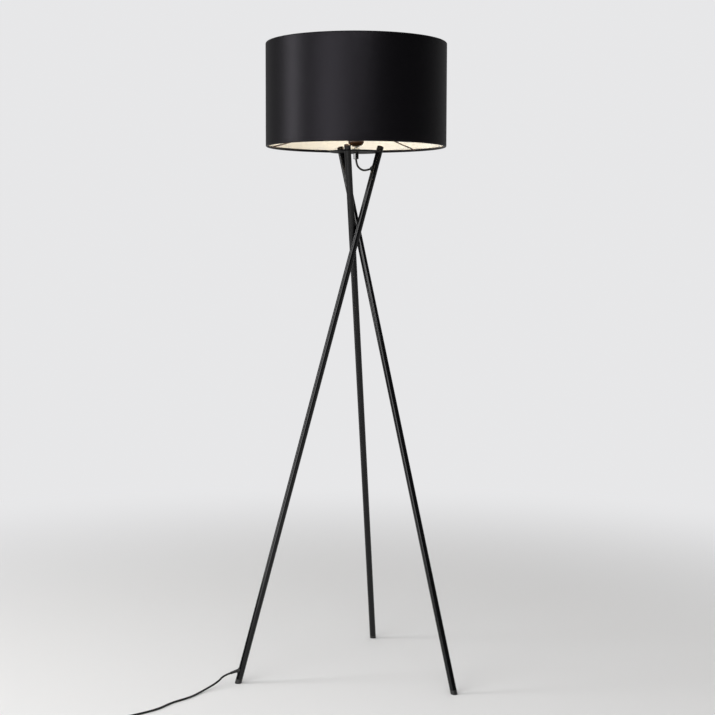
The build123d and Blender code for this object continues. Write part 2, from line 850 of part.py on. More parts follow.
# Route of the cord on the floor, seen from above, from the lower port to the foot switch
def route_to_switch():
    return [
        cord_exit,
        cord_exit + lower_port.z_dir * straight_at_port,
        (-337, -147, 14),
        (-375, -191, cord_r),
        (-398, -235, cord_r),
        (-436, -272, cord_r),
        (-460, -320, cord_r),
        (-506, -361, cord_r),
        (-541, -384, cord_r),
        (switch_x, switch_in.Y + straight_at_switch, switch_split_z),
        switch_in,
    ]


def route_to_coil():
    return [
        switch_out,
        (switch_x, switch_out.Y - straight_at_switch, switch_split_z),
        (-538, -550, 4.5),
        (-518, -558, cord_r),
        coil_in - coil_heading(0) * straight_before_coil,
        coil_in,
    ]


def route_to_plug():
    plug_y = coil_out.Y
    return [
        coil_out,
        coil_out + coil_heading(coil_turn_count) * straight_after_coil,
        (-433, -552, 4.5),
        (-414, -553, cord_r),
        (plug_at_x - straight_at_plug, plug_y, plug_thick / 2),
        (plug_at_x, plug_y, plug_thick / 2),
    ]


# Foot switch
def switch_place(height=0.0):
    return Pos(switch_x, switch_y, height)


def relief_notches():
    """Room for the cord's sleeves and their collars at both ends of the switch."""
    inner_end = switch_d / 2 - relief_in
    neck = rod(relief_d / 2 + screw_clearance, inner_end, switch_d / 2 + relief_len)
    collar_low = inner_end - relief_collar_t - screw_clearance
    collar = rod(relief_collar_d / 2 + screw_clearance, collar_low, inner_end)
    one = Rot(-90, 0, 0) * (neck + collar)
    return [switch_place(switch_split_z) * Rot(0, 0, turn) * one for turn in (0, 180)]


def switch_inside(low, high):
    return switch_place() * rod(switch_d / 2 - switch_wall, low, high)


def screw_places():
    return [switch_place() * Pos(side * switch_screw_spread / 2, 0, 0) for side in (-1, 1)]


def foot_places():
    turns = [45, 135, 225, 315]
    return [switch_place() * Rot(0, 0, turn) * Pos(switch_foot_circle / 2, 0, 0) for turn in turns]


def switch_base():
    """Lower shell: floor, wall, two screw bosses and half of each cord notch."""
    low = switch_foot_t
    r = switch_d / 2
    bowl = turned(
        Polyline((0, low), (r - switch_edge, low)),
        JernArc((r - switch_edge, low), (1, 0), switch_edge, 90),
        Polyline((r, low + switch_edge), (r, switch_split_z), (0, switch_split_z), (0, low)),
    )
    shell = switch_place() * bowl - switch_inside(low + switch_wall, switch_split_z)
    for place in screw_places():
        shell += place * rod(switch_screw_head_d / 2 + switch_wall, low, switch_split_z)
        shell -= place * rod(switch_screw_d / 2 + screw_clearance, low, switch_split_z)
        shell -= place * rod(switch_screw_head_d / 2 + screw_clearance, low, low + switch_screw_head_t)
    for notch in relief_notches():
        shell -= notch
    return shell


def switch_cover():
    """Upper shell: domed top with a round opening for the button."""
    high = switch_foot_t + switch_h
    r = switch_d / 2
    mouth = button_d / 2 + button_clearance
    rim = button_d / 2 + button_flange + switch_wall
    drop = high - switch_dome_drop
    outer = turned(
        Polyline((0, switch_split_z), (r, switch_split_z), (r, drop - switch_edge)),
        ThreePointArc((r, drop - switch_edge), (r - shoulder_in, drop + shoulder_up), (rim, high)),
        Polyline((rim, high), (0, high), (0, switch_split_z)),
    )
    wall = switch_wall
    inner = turned(
        Polyline((0, switch_split_z), (r - wall, switch_split_z), (r - wall, drop - switch_edge)),
        ThreePointArc(
            (r - wall, drop - switch_edge),
            (r - shoulder_in - wall, drop + shoulder_up - wall),
            (rim, high - wall),
        ),
        Polyline((rim, high - wall), (0, high - wall), (0, switch_split_z)),
    )
    shell = switch_place() * (outer - inner - rod(mouth, high - 2 * wall, high))
    hole_top = switch_split_z + switch_screw_grip + screw_clearance
    for place in screw_places():
        boss = place * rod(switch_screw_d / 2 + wall / 2, switch_split_z, high)
        shell += boss & (switch_place() * outer)
        shell -= place * rod(switch_screw_d / 2 + screw_clearance, switch_split_z, hole_top)
    for notch in relief_notches():
        shell -= notch
    return shell


button_top = switch_foot_t + switch_h + button_stand
button_flange_top = switch_foot_t + switch_h - switch_wall - stop_gap
insert_z = switch_foot_t + switch_wall
insert_top = insert_z + insert_h


def switch_button():
    """Crowned button with a flange that the cover holds in, hollow below for the spring."""
    r = button_d / 2
    low = button_flange_top - button_flange_t
    crown_r = (r**2 + button_crown**2) / (2 * button_crown)
    body = rod(r, low, button_top) & (Pos(0, 0, button_top - crown_r) * Sphere(crown_r))
    body = rod(r, low, button_top - button_crown - overlap) + body
    body += rod(r + button_flange, low, button_flange_top)
    body -= rod(spring_d / 2 + button_wall / 2, low, button_top - button_crown - button_wall)
    return switch_place() * body


def switch_insert():
    """Contact block in the base, with a raised seat inside the spring."""
    block = rod(insert_d / 2, insert_z, insert_top)
    seat = rod(spring_d / 2 - spring_wire - button_clearance, insert_top, insert_top + spring_wire)
    return switch_place() * (block + seat)


spring_top = button_top - button_crown - button_wall - spring_gap
spring_low = insert_top + spring_gap + spring_wire / 2


def switch_spring():
    """Coil spring between the contact block and the button."""
    height = spring_top - spring_wire / 2 - spring_low
    radius = (spring_d - spring_wire) / 2
    rise = height / spring_turn_count

    def point(turns):
        a = 2 * math.pi * turns
        return Vector(radius * math.cos(a), radius * math.sin(a), rise * turns)

    def heading(turns):
        a = 2 * math.pi * turns
        return Vector(-math.sin(a), math.cos(a), rise / (2 * math.pi * radius)).normalized()

    edges = []
    for i in range(spring_turn_count * 4):
        a, b = i / 4, (i + 1) / 4
        edges += biarc(point(a), heading(a), point(b), heading(b))
    start = Plane(origin=point(0), z_dir=heading(0))
    section = start * RegularPolygon(spring_wire / 2, wire_sides)
    return switch_place(spring_low) * sweep(section, path=Wire(edges))


def switch_screws():
    """Two screws driven up from below into the cover's bosses."""
    low = switch_foot_t + switch_screw_head_t
    head = rod(switch_screw_head_d / 2, switch_foot_t + switch_screw_sunk, low)
    shank = rod(switch_screw_d / 2, low - overlap, switch_split_z + switch_screw_grip)
    slot = Pos(0, 0, switch_foot_t) * Box(switch_screw_head_d, slot_w, 2 * slot_depth)
    return [place * (head + shank - slot) for place in screw_places()]


def switch_feet():
    return [place * rod(switch_foot_d / 2, 0, switch_foot_t) for place in foot_places()]


def switch_reliefs():
    """Tapered sleeves moulded on the cord at both ends of the switch, each with a collar in the shells."""
    inner_end = switch_d / 2 - relief_in
    neck = rod(relief_d / 2, inner_end, switch_d / 2)
    cone = Cone(relief_d / 2, relief_tip_d / 2, relief_len, align=(Align.CENTER, Align.CENTER, Align.MIN))
    sleeve = neck + Pos(0, 0, switch_d / 2) * cone
    sleeve += rod(relief_collar_d / 2, inner_end - relief_collar_t, inner_end)
    for groove in nose_grooves(relief_tip_d / 2, relief_d / 2, relief_len, relief_groove_count):
        sleeve -= Pos(0, 0, switch_d / 2 + relief_len) * groove
    one = Rot(-90, 0, 0) * sleeve
    return [switch_place(switch_split_z) * Rot(0, 0, turn) * one for turn in (0, 180)]


# Plug
def plug_place():
    """Frame of the plug: Z along the pins, X across them, lying on the floor."""
    origin = (plug_at_x + plug_relief_len, coil_out.Y, plug_thick / 2)
    return Plane(origin=origin, x_dir=(0, 1, 0), z_dir=(1, 0, 0))


def plug_body():
    """Flat six-sided body that narrows to a ribbed sleeve round the cord."""
    half = plug_w / 2
    end = [(-half, 0), (-half + plug_thick / 3, -plug_thick / 2), (half - plug_thick / 3, -plug_thick / 2)]
    end += [(half, 0), (half - plug_thick / 3, plug_thick / 2), (-half + plug_thick / 3, plug_thick / 2)]
    face = make_face(Polyline(*end, close=True))
    shoulder_len = plug_len - plug_straight_len
    narrow = scale(face, (plug_neck_d / plug_w, plug_neck_d / plug_thick, 1))
    body = loft([narrow, Pos(0, 0, shoulder_len) * face])
    body += Pos(0, 0, shoulder_len) * extrude(face, plug_straight_len)
    tip_r, root_r = relief_tip_d / 2, plug_relief_d / 2
    sleeve = Cone(root_r, tip_r, plug_relief_len, align=(Align.CENTER, Align.CENTER, Align.MIN))
    body += Rot(180, 0, 0) * sleeve
    for groove in nose_grooves(tip_r, root_r, plug_relief_len, plug_groove_count):
        body -= Pos(0, 0, -plug_relief_len) * Rot(180, 0, 0) * groove
    for x in pin_sides():
        body -= Pos(x, 0, 0) * rod(pin_d / 2 + pin_clearance, plug_len - pin_sunk, plug_len)
    return plug_place() * body


def pin_sides():
    return [-pin_spread / 2, pin_spread / 2]


def plug_pins():
    """Two round pins with rounded ends."""
    pin = rod(pin_d / 2, plug_len - pin_sunk, plug_len + pin_len)
    pin = fillet(pin.edges().sort_by(Axis.Z)[-1], pin_round)
    return [plug_place() * Pos(x, 0, 0) * pin for x in pin_sides()]


def build_parts():
    """Every node of the lamp, on its own axis."""
    studs = [plane * Cylinder(stud_d / 2, stud_len) for plane in crossing_studs()]
    ports = (upper_port, lower_port)
    ring_low = fitter_z - fitter_ring_t / 2 - fitter_gap - shade_ring_h
    ring_high = fitter_z + fitter_ring_t / 2 + fitter_gap
    parts = {f"leg_{side}": leg(turn, ports if side == "left" else ()) for side, turn in leg_turns.items()}
    parts.update({f"foot_{side}": foot(turn) for side, turn in leg_turns.items()})
    parts.update(
        leg_caps=leg_caps(),
        crossing_studs=studs,
        top_plate=top_plate(),
        nipple=nipple(),
        plate_washer=plate_washer(),
        plate_nut=plate_nut(),
        cord_grip=cord_grip(),
        grip_screw=grip_screw(),
        inner_lead=inner_lead(),
        upper_port_bush=port_bush(upper_port, upper_nose, 0),
        lower_port_bush=port_bush(lower_port, lower_nose, lower_groove_count),
        holder_dome=holder_dome(),
        holder_skirt=holder_skirt(),
        holder_core=holder_core(),
        screw_shell=screw_shell(),
        centre_contact=centre_contact(),
        terminal_screws=terminal_screws(),
        core_wires=core_wires(),
        shade_ring_lower=shade_ring(ring_low),
        shade_ring_upper=shade_ring(ring_high),
        bulb_glass=bulb_glass(),
        bulb_cap=bulb_cap(),
        bulb_insulator=bulb_insulator(),
        bulb_tip=bulb_tip(),
        fitter_ring=fitter_ring(),
        spider=spider(),
        top_ring=top_ring(),
        shade_cover=shade_cover(),
        shade_lining=shade_lining(),
        cord_to_switch=cord_tube("cord_to_switch", route_to_switch()),
        switch_base=switch_base(),
        switch_cover=switch_cover(),
        switch_button=switch_button(),
        switch_insert=switch_insert(),
        switch_spring=switch_spring(),
        switch_screws=switch_screws(),
        switch_feet=switch_feet(),
        switch_reliefs=switch_reliefs(),
        cord_to_coil=cord_tube("cord_to_coil", route_to_coil()),
        cord_coil=cord_coil(),
        coil_tie=coil_tie(),
        cord_to_plug=cord_tube("cord_to_plug", route_to_plug()),
        plug_body=plug_body(),
        plug_pins=plug_pins(),
    )
    return parts


def main():
    os.makedirs("parts", exist_ok=True)
    for name, shape in build_parts().items():
        solids = shape if isinstance(shape, list) else [shape]
        solids = [solid for piece in solids for solid in piece.solids()]
        placed = Compound(children=[solid.moved(Location(axis_at)) for solid in solids])
        placed.label = name
        export_step(placed, f"parts/{name}.step")
    print("lamp axis at", round(axis_at.X, 2), round(axis_at.Y, 2))


main()
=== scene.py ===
# %% [markdown]
# # A floor lamp on three crossed tubes
#
# Three thin black steel tubes lean against each other, cross above the middle of their height and spread
# again to a small round plate. A lampholder stands on the plate, with a bulb and a wide black drum shade.
# The lead drops out below the plate, swings into the left tube and leaves it again just above the floor,
# where it runs to a foot switch, a coil and a plug.
#
# The construction is already settled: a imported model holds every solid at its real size, in metres, and
# says which pieces move together. This notebook gives the lamp its looks. It never moves a solid of that
# model. It gives it a finish, or hides it and puts a finer piece in its place.

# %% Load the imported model
import json
import math

import bmesh
import bpy
from mathutils import Matrix, Vector


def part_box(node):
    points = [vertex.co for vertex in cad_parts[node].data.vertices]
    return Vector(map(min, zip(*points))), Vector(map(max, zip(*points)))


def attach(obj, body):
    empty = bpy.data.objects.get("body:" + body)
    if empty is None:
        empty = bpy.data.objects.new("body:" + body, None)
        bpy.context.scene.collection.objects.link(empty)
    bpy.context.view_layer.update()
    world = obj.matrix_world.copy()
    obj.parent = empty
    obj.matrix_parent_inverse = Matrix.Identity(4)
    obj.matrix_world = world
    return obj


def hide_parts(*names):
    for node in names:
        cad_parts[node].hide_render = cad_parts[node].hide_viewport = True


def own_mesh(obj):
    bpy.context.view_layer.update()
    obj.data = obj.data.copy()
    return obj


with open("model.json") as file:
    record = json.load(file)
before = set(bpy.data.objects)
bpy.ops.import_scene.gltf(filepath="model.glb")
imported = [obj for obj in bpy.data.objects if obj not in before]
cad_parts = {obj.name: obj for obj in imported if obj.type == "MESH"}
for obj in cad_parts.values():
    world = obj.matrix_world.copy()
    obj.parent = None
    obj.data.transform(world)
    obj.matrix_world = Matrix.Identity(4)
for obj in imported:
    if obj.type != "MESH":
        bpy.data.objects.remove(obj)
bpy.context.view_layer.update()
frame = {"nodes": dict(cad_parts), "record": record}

# %% [markdown]
# ## Where the lamp's own axis stands
#
# The model's origin lies in the middle of its box on the floor, but a designer measures a lamp from the
# upright line through its shade. The lining is a plain ring round that line, so the middle of its box gives
# the line's place. Every size below is measured from there.
#
# Three small helpers serve all later cells. One turns millimetres on the lamp into metres in the model, one
# puts an object in the scene, and one turns a finished bmesh into a mesh.

# %% Find the lamp's axis
MM = 0.001
lining_low, lining_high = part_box("shade_lining")
AXIS = Vector(((lining_low.x + lining_high.x) / 2, (lining_low.y + lining_high.y) / 2, 0))


def at(x, y, z):
    """Millimetres from the lamp's axis on the floor, as a point in the model."""
    return AXIS + Vector((x, y, z)) * MM


def link(piece):
    """Puts an object in the scene."""
    bpy.context.scene.collection.objects.link(piece)
    return piece


def mesh_of(name, form):
    """Turns a bmesh into a mesh and frees it."""
    data = bpy.data.meshes.new(name)
    form.to_mesh(data)
    form.free()
    return data


print("lamp axis:", [round(value, 4) for value in AXIS])

# %% [markdown]
# ## The camera
#
# The picture was taken from lamp height, a few metres away, with a lens that looks a little downwards. The
# place, the turn and the focal length were worked out by fitting the shade's rims, the plate and the three
# feet on the floor. A camera in Blender looks down its own -Z, so it is tipped up by a right angle, less
# the few degrees that it looks down.

# %% Set up the camera
PICTURE_SIDE = 715
FOCAL_PIXELS = 1440.2
SENSOR_MM = 36.0
CAMERA_DISTANCE = 3.6242
CAMERA_HEIGHT = 1.0878
CAMERA_YAW = math.radians(0.074)
CAMERA_PITCH = math.radians(-4.456)
CAMERA_ROLL = math.radians(-0.127)

lens = bpy.data.cameras.new("camera")
lens.sensor_width = SENSOR_MM
lens.lens = FOCAL_PIXELS / PICTURE_SIDE * SENSOR_MM
camera = bpy.data.objects.new("camera", lens)
camera.matrix_world = (
    Matrix.Translation(AXIS + Vector((0, -CAMERA_DISTANCE, CAMERA_HEIGHT)))
    @ Matrix.Rotation(-CAMERA_YAW, 4, "Z")
    @ Matrix.Rotation(math.radians(90) + CAMERA_PITCH, 4, "X")
    @ Matrix.Rotation(-CAMERA_ROLL, 4, "Z")
)
link(camera)
bpy.context.scene.camera = camera
bpy.context.scene.view_settings.view_transform = "Standard"
print("focal length in mm:", round(lens.lens, 1))

# %% [markdown]
# ## Small helpers for shader nodes
#
# A material is a small graph. Three helpers keep the graphs readable: one adds a node and fills in its
# inputs, one joins an output to an input, and one does a sum with two outputs. Patterns read Object
# coordinates, so they stay fixed to the piece when it moves, and they are written in metres: a noise of
# scale 1000 has grains of about 1 mm.


# %% Helpers for materials
NOISE_BAND = (0.3, 0.7)
COLOUR_BAND = (0.35, 0.65)
GRAIN_DETAIL = 2.0


def add(tree, kind, inputs=None, **settings):
    """Adds a node, sets its options and fills in its inputs."""
    node = tree.nodes.new(kind)
    for name, value in settings.items():
        setattr(node, name, value)
    for name, value in (inputs or {}).items():
        node.inputs[name].default_value = value
    return node


def join(tree, source, output, target, socket):
    """Joins one node's output to another node's input."""
    tree.links.new(source.outputs[output], target.inputs[socket])


def combine(tree, operation, first, second):
    """Does a sum with two outputs, each given as a node and a name."""
    node = add(tree, "ShaderNodeMath", operation=operation)
    join(tree, *first, node, 0)
    join(tree, *second, node, 1)
    return node


def plain(name, colour, roughness, metallic=0.0, **sockets):
    """A material with uniform values on the shader's own sockets."""
    material = bpy.data.materials.new(name)
    material.use_nodes = True
    shader = material.node_tree.nodes["Principled BSDF"]
    shader.inputs["Base Color"].default_value = (*colour, 1)
    shader.inputs["Roughness"].default_value = roughness
    shader.inputs["Metallic"].default_value = metallic
    for socket, value in sockets.items():
        shader.inputs[socket.replace("_", " ")].default_value = value
    material.diffuse_color = (*colour, 1)
    return material


def noise(tree, scale, detail=3.0):
    """Noise in metres on the piece's own coordinates."""
    coordinates = add(tree, "ShaderNodeTexCoord")
    texture = add(tree, "ShaderNodeTexNoise", {"Scale": scale, "Detail": detail})
    join(tree, coordinates, "Object", texture, "Vector")
    return texture


def vary_roughness(material, scale, low, high):
    """Lets the roughness wander between two values."""
    tree = material.node_tree
    band = {"From Min": NOISE_BAND[0], "From Max": NOISE_BAND[1], "To Min": low, "To Max": high}
    spread = add(tree, "ShaderNodeMapRange", band)
    join(tree, noise(tree, scale), "Fac", spread, "Value")
    join(tree, spread, "Result", tree.nodes["Principled BSDF"], "Roughness")


def vary_colour(material, scale, first, second):
    """Lets the colour wander between two values."""
    tree = material.node_tree
    ramp = add(tree, "ShaderNodeValToRGB")
    for stop, position, colour in zip(ramp.color_ramp.elements, COLOUR_BAND, (first, second)):
        stop.position = position
        stop.color = (*colour, 1)
    join(tree, noise(tree, scale), "Fac", ramp, "Fac")
    join(tree, ramp, "Color", tree.nodes["Principled BSDF"], "Base Color")


def raise_grain(material, scale, height):
    """Adds a fine relief, with its height in metres."""
    tree = material.node_tree
    bump = add(tree, "ShaderNodeBump", {"Strength": 1.0, "Distance": height})
    join(tree, noise(tree, scale, GRAIN_DETAIL), "Fac", bump, "Height")
    join(tree, bump, "Normal", tree.nodes["Principled BSDF"], "Normal")


# %% [markdown]
# ## The finishes
#
# The tubes and the plate are powder coated. Baked powder flows into a glossy skin with a faint orange peel,
# so its colour is flat and its relief is low and broad. The roughness wanders a little, which keeps the long
# highlights on the tubes from looking drawn.


# %% Powder coat
POWDER_PATCHES = 60
POWDER_GRAIN = 900
POWDER_RELIEF = 0.00003


def powder_coat(name, colour, low, high, gloss=0.5):
    """Baked powder, with its roughness between two values."""
    material = plain(name, colour, (low + high) / 2, Specular_IOR_Level=gloss)
    vary_roughness(material, POWDER_PATCHES, low, high)
    raise_grain(material, POWDER_GRAIN, POWDER_RELIEF)
    return material


tube_paint = powder_coat("tube_black_paint", (0.003, 0.003, 0.0033), 0.08, 0.14, 0.29)
plate_paint = powder_coat("plate_black_paint", (0.005, 0.005, 0.0055), 0.5, 0.64, 0.08)
# The wires' brown is painted warm light: the bulb's orange light on the dark painted wire, put into the base
# colour.
wire_coat_painted_warm_light = powder_coat("wire_coat_with_painted_warm_light", (0.075, 0.035, 0.02), 0.35, 0.5)
print("paints:", tube_paint.name, plate_paint.name, wire_coat_painted_warm_light.name)

# %% [markdown]
# Moulded plastic comes from an eroded tool, so its skin has a fine even grain. Rubber is the same idea with
# a duller surface. Both could be done with a picture of a grain, but a noise of the right size never
# repeats and needs no unwrapping.


# %% Plastic and rubber
PLASTIC_PATCHES = 90


def moulded(name, colour, low, high, grain=1800, height=0.00003, **sockets):
    """Moulded plastic or rubber, with an even grain."""
    material = plain(name, colour, (low + high) / 2, **sockets)
    vary_roughness(material, PLASTIC_PATCHES, low, high)
    raise_grain(material, grain, height)
    return material


# The brown of the lampholder, its clamping rings and the tube caps is painted warm light: the bulb's orange
# light on black plastic, put into the base colour.
holder_plastic_painted_warm_light = moulded("holder_plastic_with_painted_warm_light", (0.07, 0.03, 0.012), 0.3, 0.42)
# Painted warm light: black plastic caps given a brown base colour for the bulb's orange light on them.
cap_plastic_painted_warm_light = moulded("tube_cap_plastic", (0.11, 0.062, 0.034), 0.26, 0.38)
foot_plastic = moulded("foot_black_plastic", (0.007, 0.007, 0.007), 0.34, 0.48)
switch_plastic = moulded("switch_black_plastic", (0.018, 0.018, 0.019), 0.38, 0.5, 1400, 0.00006)
GLAZED = {"Specular_IOR_Level": 1.0, "Coat_Weight": 1.0, "Coat_IOR": 1.9, "Coat_Roughness": 0.04}
grip_plastic = moulded("cord_grip_plastic", (0.004, 0.004, 0.004), 0.06, 0.12, **GLAZED)
bush_rubber = moulded("bush_rubber", (0.008, 0.008, 0.008), 0.5, 0.62)
cord_rubber = moulded("cord_rubber", (0.008, 0.008, 0.008), 0.4, 0.55, 2500, 0.00002)
mains_plug_rubber = moulded("mains_plug_rubber", (0.016, 0.016, 0.016), 0.4, 0.5)
core_plastic = moulded("core_insulation", (0.16, 0.07, 0.03), 0.3, 0.4)
strap_plastic = moulded("coil_strap", (0.02, 0.02, 0.02), 0.6, 0.75, 2200, 0.0001)
print("plastics:", [material.name for material in bpy.data.materials if "plastic" in material.name])

# %% [markdown]
# The bare metals are zinc on the threaded tube and its nut, nickel on the plug's pins, brass on the
# contacts, rolled aluminium on the bulb's cap and steel on the switch's spring. A metal has no colour under
# its reflections, so its base colour is the tint of what it mirrors, and all the life is in the roughness.


# %% Bare metals
METAL_PATCHES = 300


def metal(name, colour, low, high):
    """Bare metal, with its roughness between two values."""
    material = plain(name, colour, (low + high) / 2, metallic=1.0)
    vary_roughness(material, METAL_PATCHES, low, high)
    return material


zinc = metal("zinc_plate", (0.78, 0.77, 0.74), 0.18, 0.32)
nickel = metal("nickel_plate", (0.72, 0.71, 0.68), 0.14, 0.24)
brass = metal("contact_brass", (0.72, 0.52, 0.24), 0.25, 0.4)
aluminium = metal("cap_aluminium", (0.75, 0.75, 0.76), 0.28, 0.42)
spring_steel = metal("spring_steel", (0.5, 0.5, 0.52), 0.25, 0.4)
ceramic = plain("core_ceramic", (0.78, 0.77, 0.73), 0.5)
vary_colour(ceramic, 120, (0.74, 0.73, 0.69), (0.8, 0.79, 0.76))
black_glass = plain("insulator_glass", (0.01, 0.01, 0.012), 0.1)
vary_roughness(black_glass, 200, 0.06, 0.16)
print("metals:", zinc.name, nickel.name, brass.name, aluminium.name)

# %% [markdown]
# ## The light, the floor and the background
#
# The picture has one broad light on the left, which draws an upright sheen on the shade and thin lines on
# the tubes, and a darker room on the right. Two large area lights at the left do that here. A third one high
# in front, a very soft sun and a dim world fill in the rest. The background is pale: rays that come straight
# from the camera see a pale world, and mirror-like rays see a grey one that is brighter behind the lamp.

# %% World
PALE = (0.8, 0.8, 0.81)
WORLD_LIGHT = 0.36
ROOM_LEVEL = 0.02
BACKDROP_LEVEL = 0.3
ROOM_Y = -0.1
BACKDROP_Y = 0.6

world = bpy.data.worlds.new("studio")
bpy.context.scene.world = world
world.use_nodes = True
sky = world.node_tree
sky.nodes.clear()
soft_light = add(sky, "ShaderNodeBackground", {"Color": (1, 1, 1, 1), "Strength": WORLD_LIGHT})
seen_sky = add(sky, "ShaderNodeBackground", {"Color": (*PALE, 1)})
paths = add(sky, "ShaderNodeLightPath")
direction = add(sky, "ShaderNodeTexCoord")
split_way = add(sky, "ShaderNodeSeparateXYZ")
join(sky, direction, "Generated", split_way, "Vector")
levels = {"From Min": ROOM_Y, "From Max": BACKDROP_Y, "To Min": ROOM_LEVEL, "To Max": BACKDROP_LEVEL}
depth = add(sky, "ShaderNodeMapRange", levels)
join(sky, split_way, "Y", depth, "Value")
mirrored = combine(sky, "MULTIPLY", (depth, "Result"), (paths, "Is Glossy Ray"))
straight = combine(sky, "MAXIMUM", (paths, "Is Camera Ray"), (paths, "Is Transmission Ray"))
level = combine(sky, "MAXIMUM", (straight, "Value"), (mirrored, "Value"))
join(sky, level, "Value", seen_sky, "Strength")
either = combine(sky, "MAXIMUM", (straight, "Value"), (paths, "Is Glossy Ray"))
choice = add(sky, "ShaderNodeMixShader")
join(sky, either, "Value", choice, "Fac")
join(sky, soft_light, "Background", choice, 1)
join(sky, seen_sky, "Background", choice, 2)
sky_out = add(sky, "ShaderNodeOutputWorld")
join(sky, choice, "Shader", sky_out, "Surface")
print("world light:", WORLD_LIGHT)

# %% [markdown]
# An area light is named by what it does. Each one is aimed by turning its -Z axis towards a point on the
# lamp, with `to_track_quat`, which works out such a turn from a direction. The sun is as wide as a ceiling,
# so it gives the soft shadows under the feet.


# %% Lights
SUN_WIDTH = math.radians(70)
SUN_STRENGTH = 0.9
SUN_TILT = (math.radians(14), math.radians(-18), 0)


def area_light(name, place, target, width, height, watts):
    """A rectangular soft light at a place, facing a target."""
    data = bpy.data.lights.new(name, "AREA")
    data.shape = "RECTANGLE"
    data.size = width
    data.size_y = height
    data.energy = watts
    light = bpy.data.objects.new(name, data)
    light.location = AXIS + Vector(place)
    light.rotation_mode = "QUATERNION"
    light.rotation_quaternion = (Vector(target) - Vector(place)).to_track_quat("-Z", "Y")
    return link(light)


lights = [
    area_light("tall_window_left", (-3.3, -0.36, 1.75), (0, 0, 1.35), 0.75, 2.3, 52),
    area_light("broad_front_left", (-2.1, -3.36, 1.6), (0, 0, 1.0), 2.5, 2.6, 94),
    area_light("high_front", (0.25, -4.2, 2.85), (0, 0, 1.45), 1.7, 0.9, 42),
]
sun_data = bpy.data.lights.new("soft_ceiling", "SUN")
sun_data.angle = SUN_WIDTH
sun_data.energy = SUN_STRENGTH
sun = bpy.data.objects.new("soft_ceiling", sun_data)
sun.rotation_euler = SUN_TILT
lights.append(link(sun))
print("lights:", [light.name for light in lights])

# %% [markdown]
# The floor is one wide disc. Near the lamp it takes light and shadow as a pale matt floor does. Further out
# it fades to the background's own colour for the camera, so no horizon shows in any view.

# %% Floor
FLOOR_RADIUS = 40.0
FLOOR_ROUGHNESS = 0.6
FADE_START = 0.8
FADE_END = 2.8
FLOOR_COLOUR = (0.74, 0.735, 0.73)

floor_mesh = bmesh.new()
bmesh.ops.create_circle(floor_mesh, cap_ends=True, radius=FLOOR_RADIUS, segments=96)
floor = link(bpy.data.objects.new("floor", mesh_of("floor", floor_mesh)))

floor_paint = plain("pale_floor", FLOOR_COLOUR, FLOOR_ROUGHNESS)
ground = floor_paint.node_tree
floor_place = add(ground, "ShaderNodeTexCoord")
distance = add(ground, "ShaderNodeVectorMath", operation="LENGTH")
join(ground, floor_place, "Object", distance, 0)
fade_band = {"From Min": FADE_START, "From Max": FADE_END}
fade = add(ground, "ShaderNodeMapRange", fade_band, interpolation_type="SMOOTHSTEP")
join(ground, distance, "Value", fade, "Value")
seen = add(ground, "ShaderNodeLightPath")
faded = combine(ground, "MULTIPLY", (fade, "Result"), (seen, "Is Camera Ray"))
glow = add(ground, "ShaderNodeEmission", {"Color": (*PALE, 1), "Strength": 1.0})
blend = add(ground, "ShaderNodeMixShader")
join(ground, faded, "Value", blend, "Fac")
join(ground, ground.nodes["Principled BSDF"], "BSDF", blend, 1)
join(ground, glow, "Emission", blend, 2)
join(ground, blend, "Shader", ground.nodes["Material Output"], "Surface")
floor.data.materials.append(floor_paint)
print("floor radius in m:", FLOOR_RADIUS)

# %% [markdown]
# ## Making a finished piece
#
# Every new piece goes the same way: its bmesh becomes a mesh, its faces are turned outwards and smoothed up
# to an angle, it gets its finish, it rides on the body that carries it, and the solid that it stands for is
# hidden. The body of a solid is read from the model's record. Most pieces of a lamp are
# round, so the other helpers draw an outline as pairs of radius and height and turn it round the axis.

# %% Helpers for pieces
BEVEL_SEGMENTS = 2
BEVEL_ANGLE = math.radians(30)
ON_AXIS = Matrix.Translation(AXIS)

body_of_node = {
    node: body for body, nodes in frame["record"]["behaviour"]["bodies"].items() for node in nodes
}


def finish_object(piece, material, nodes, hide=True):
    """Gives a piece its finish and body, and hides the solids that it stands for."""
    piece.data.materials.clear()
    piece.data.materials.append(material)
    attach(link(piece), body_of_node[nodes[0]])
    if hide:
        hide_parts(*nodes)
    return piece


def smooth_object(name, form, smooth):
    """A bmesh as an object, smooth but for edges sharper than an angle in degrees."""
    data = mesh_of(name, form)
    data.shade_smooth()
    data.set_sharp_from_angle(angle=math.radians(smooth))
    return bpy.data.objects.new(name, data)


def finish_mesh(name, form, material, nodes, place=ON_AXIS, hide=True, smooth=35):
    """Turns a bmesh into a finished piece of the lamp, put in place in its mesh."""
    form.transform(place)
    bmesh.ops.remove_doubles(form, verts=form.verts, dist=1e-7)
    bmesh.ops.recalc_face_normals(form, faces=form.faces)
    return finish_object(smooth_object(name, form, smooth), material, nodes, hide)


def round_edges(piece, width):
    """Softens the sharp edges of a piece by a width in millimetres, so that they catch the light."""
    bevel = piece.modifiers.new("soft_edges", "BEVEL")
    bevel.width = width * MM
    bevel.segments = BEVEL_SEGMENTS
    bevel.limit_method = "ANGLE"
    bevel.angle_limit = BEVEL_ANGLE
    return piece


def outline_verts(form, outline):
    """Vertices for an outline of (radius, height) points in millimetres."""
    return [form.verts.new(Vector((r, 0, z)) * MM) for r, z in outline]


def spin(form, geometry, angle, steps, rise=0.0, merge=False):
    """Turns geometry round the upright axis, with a rise in millimetres at each step."""
    way = {"cent": (0, 0, 0), "axis": (0, 0, 1), "dvec": (0, 0, rise * MM)}
    return bmesh.ops.spin(form, geom=geometry, angle=angle, steps=steps, use_merge=merge, **way)


def verts_in(geometry):
    """The vertices among the geometry that an operator made."""
    return [item for item in geometry if isinstance(item, bmesh.types.BMVert)]


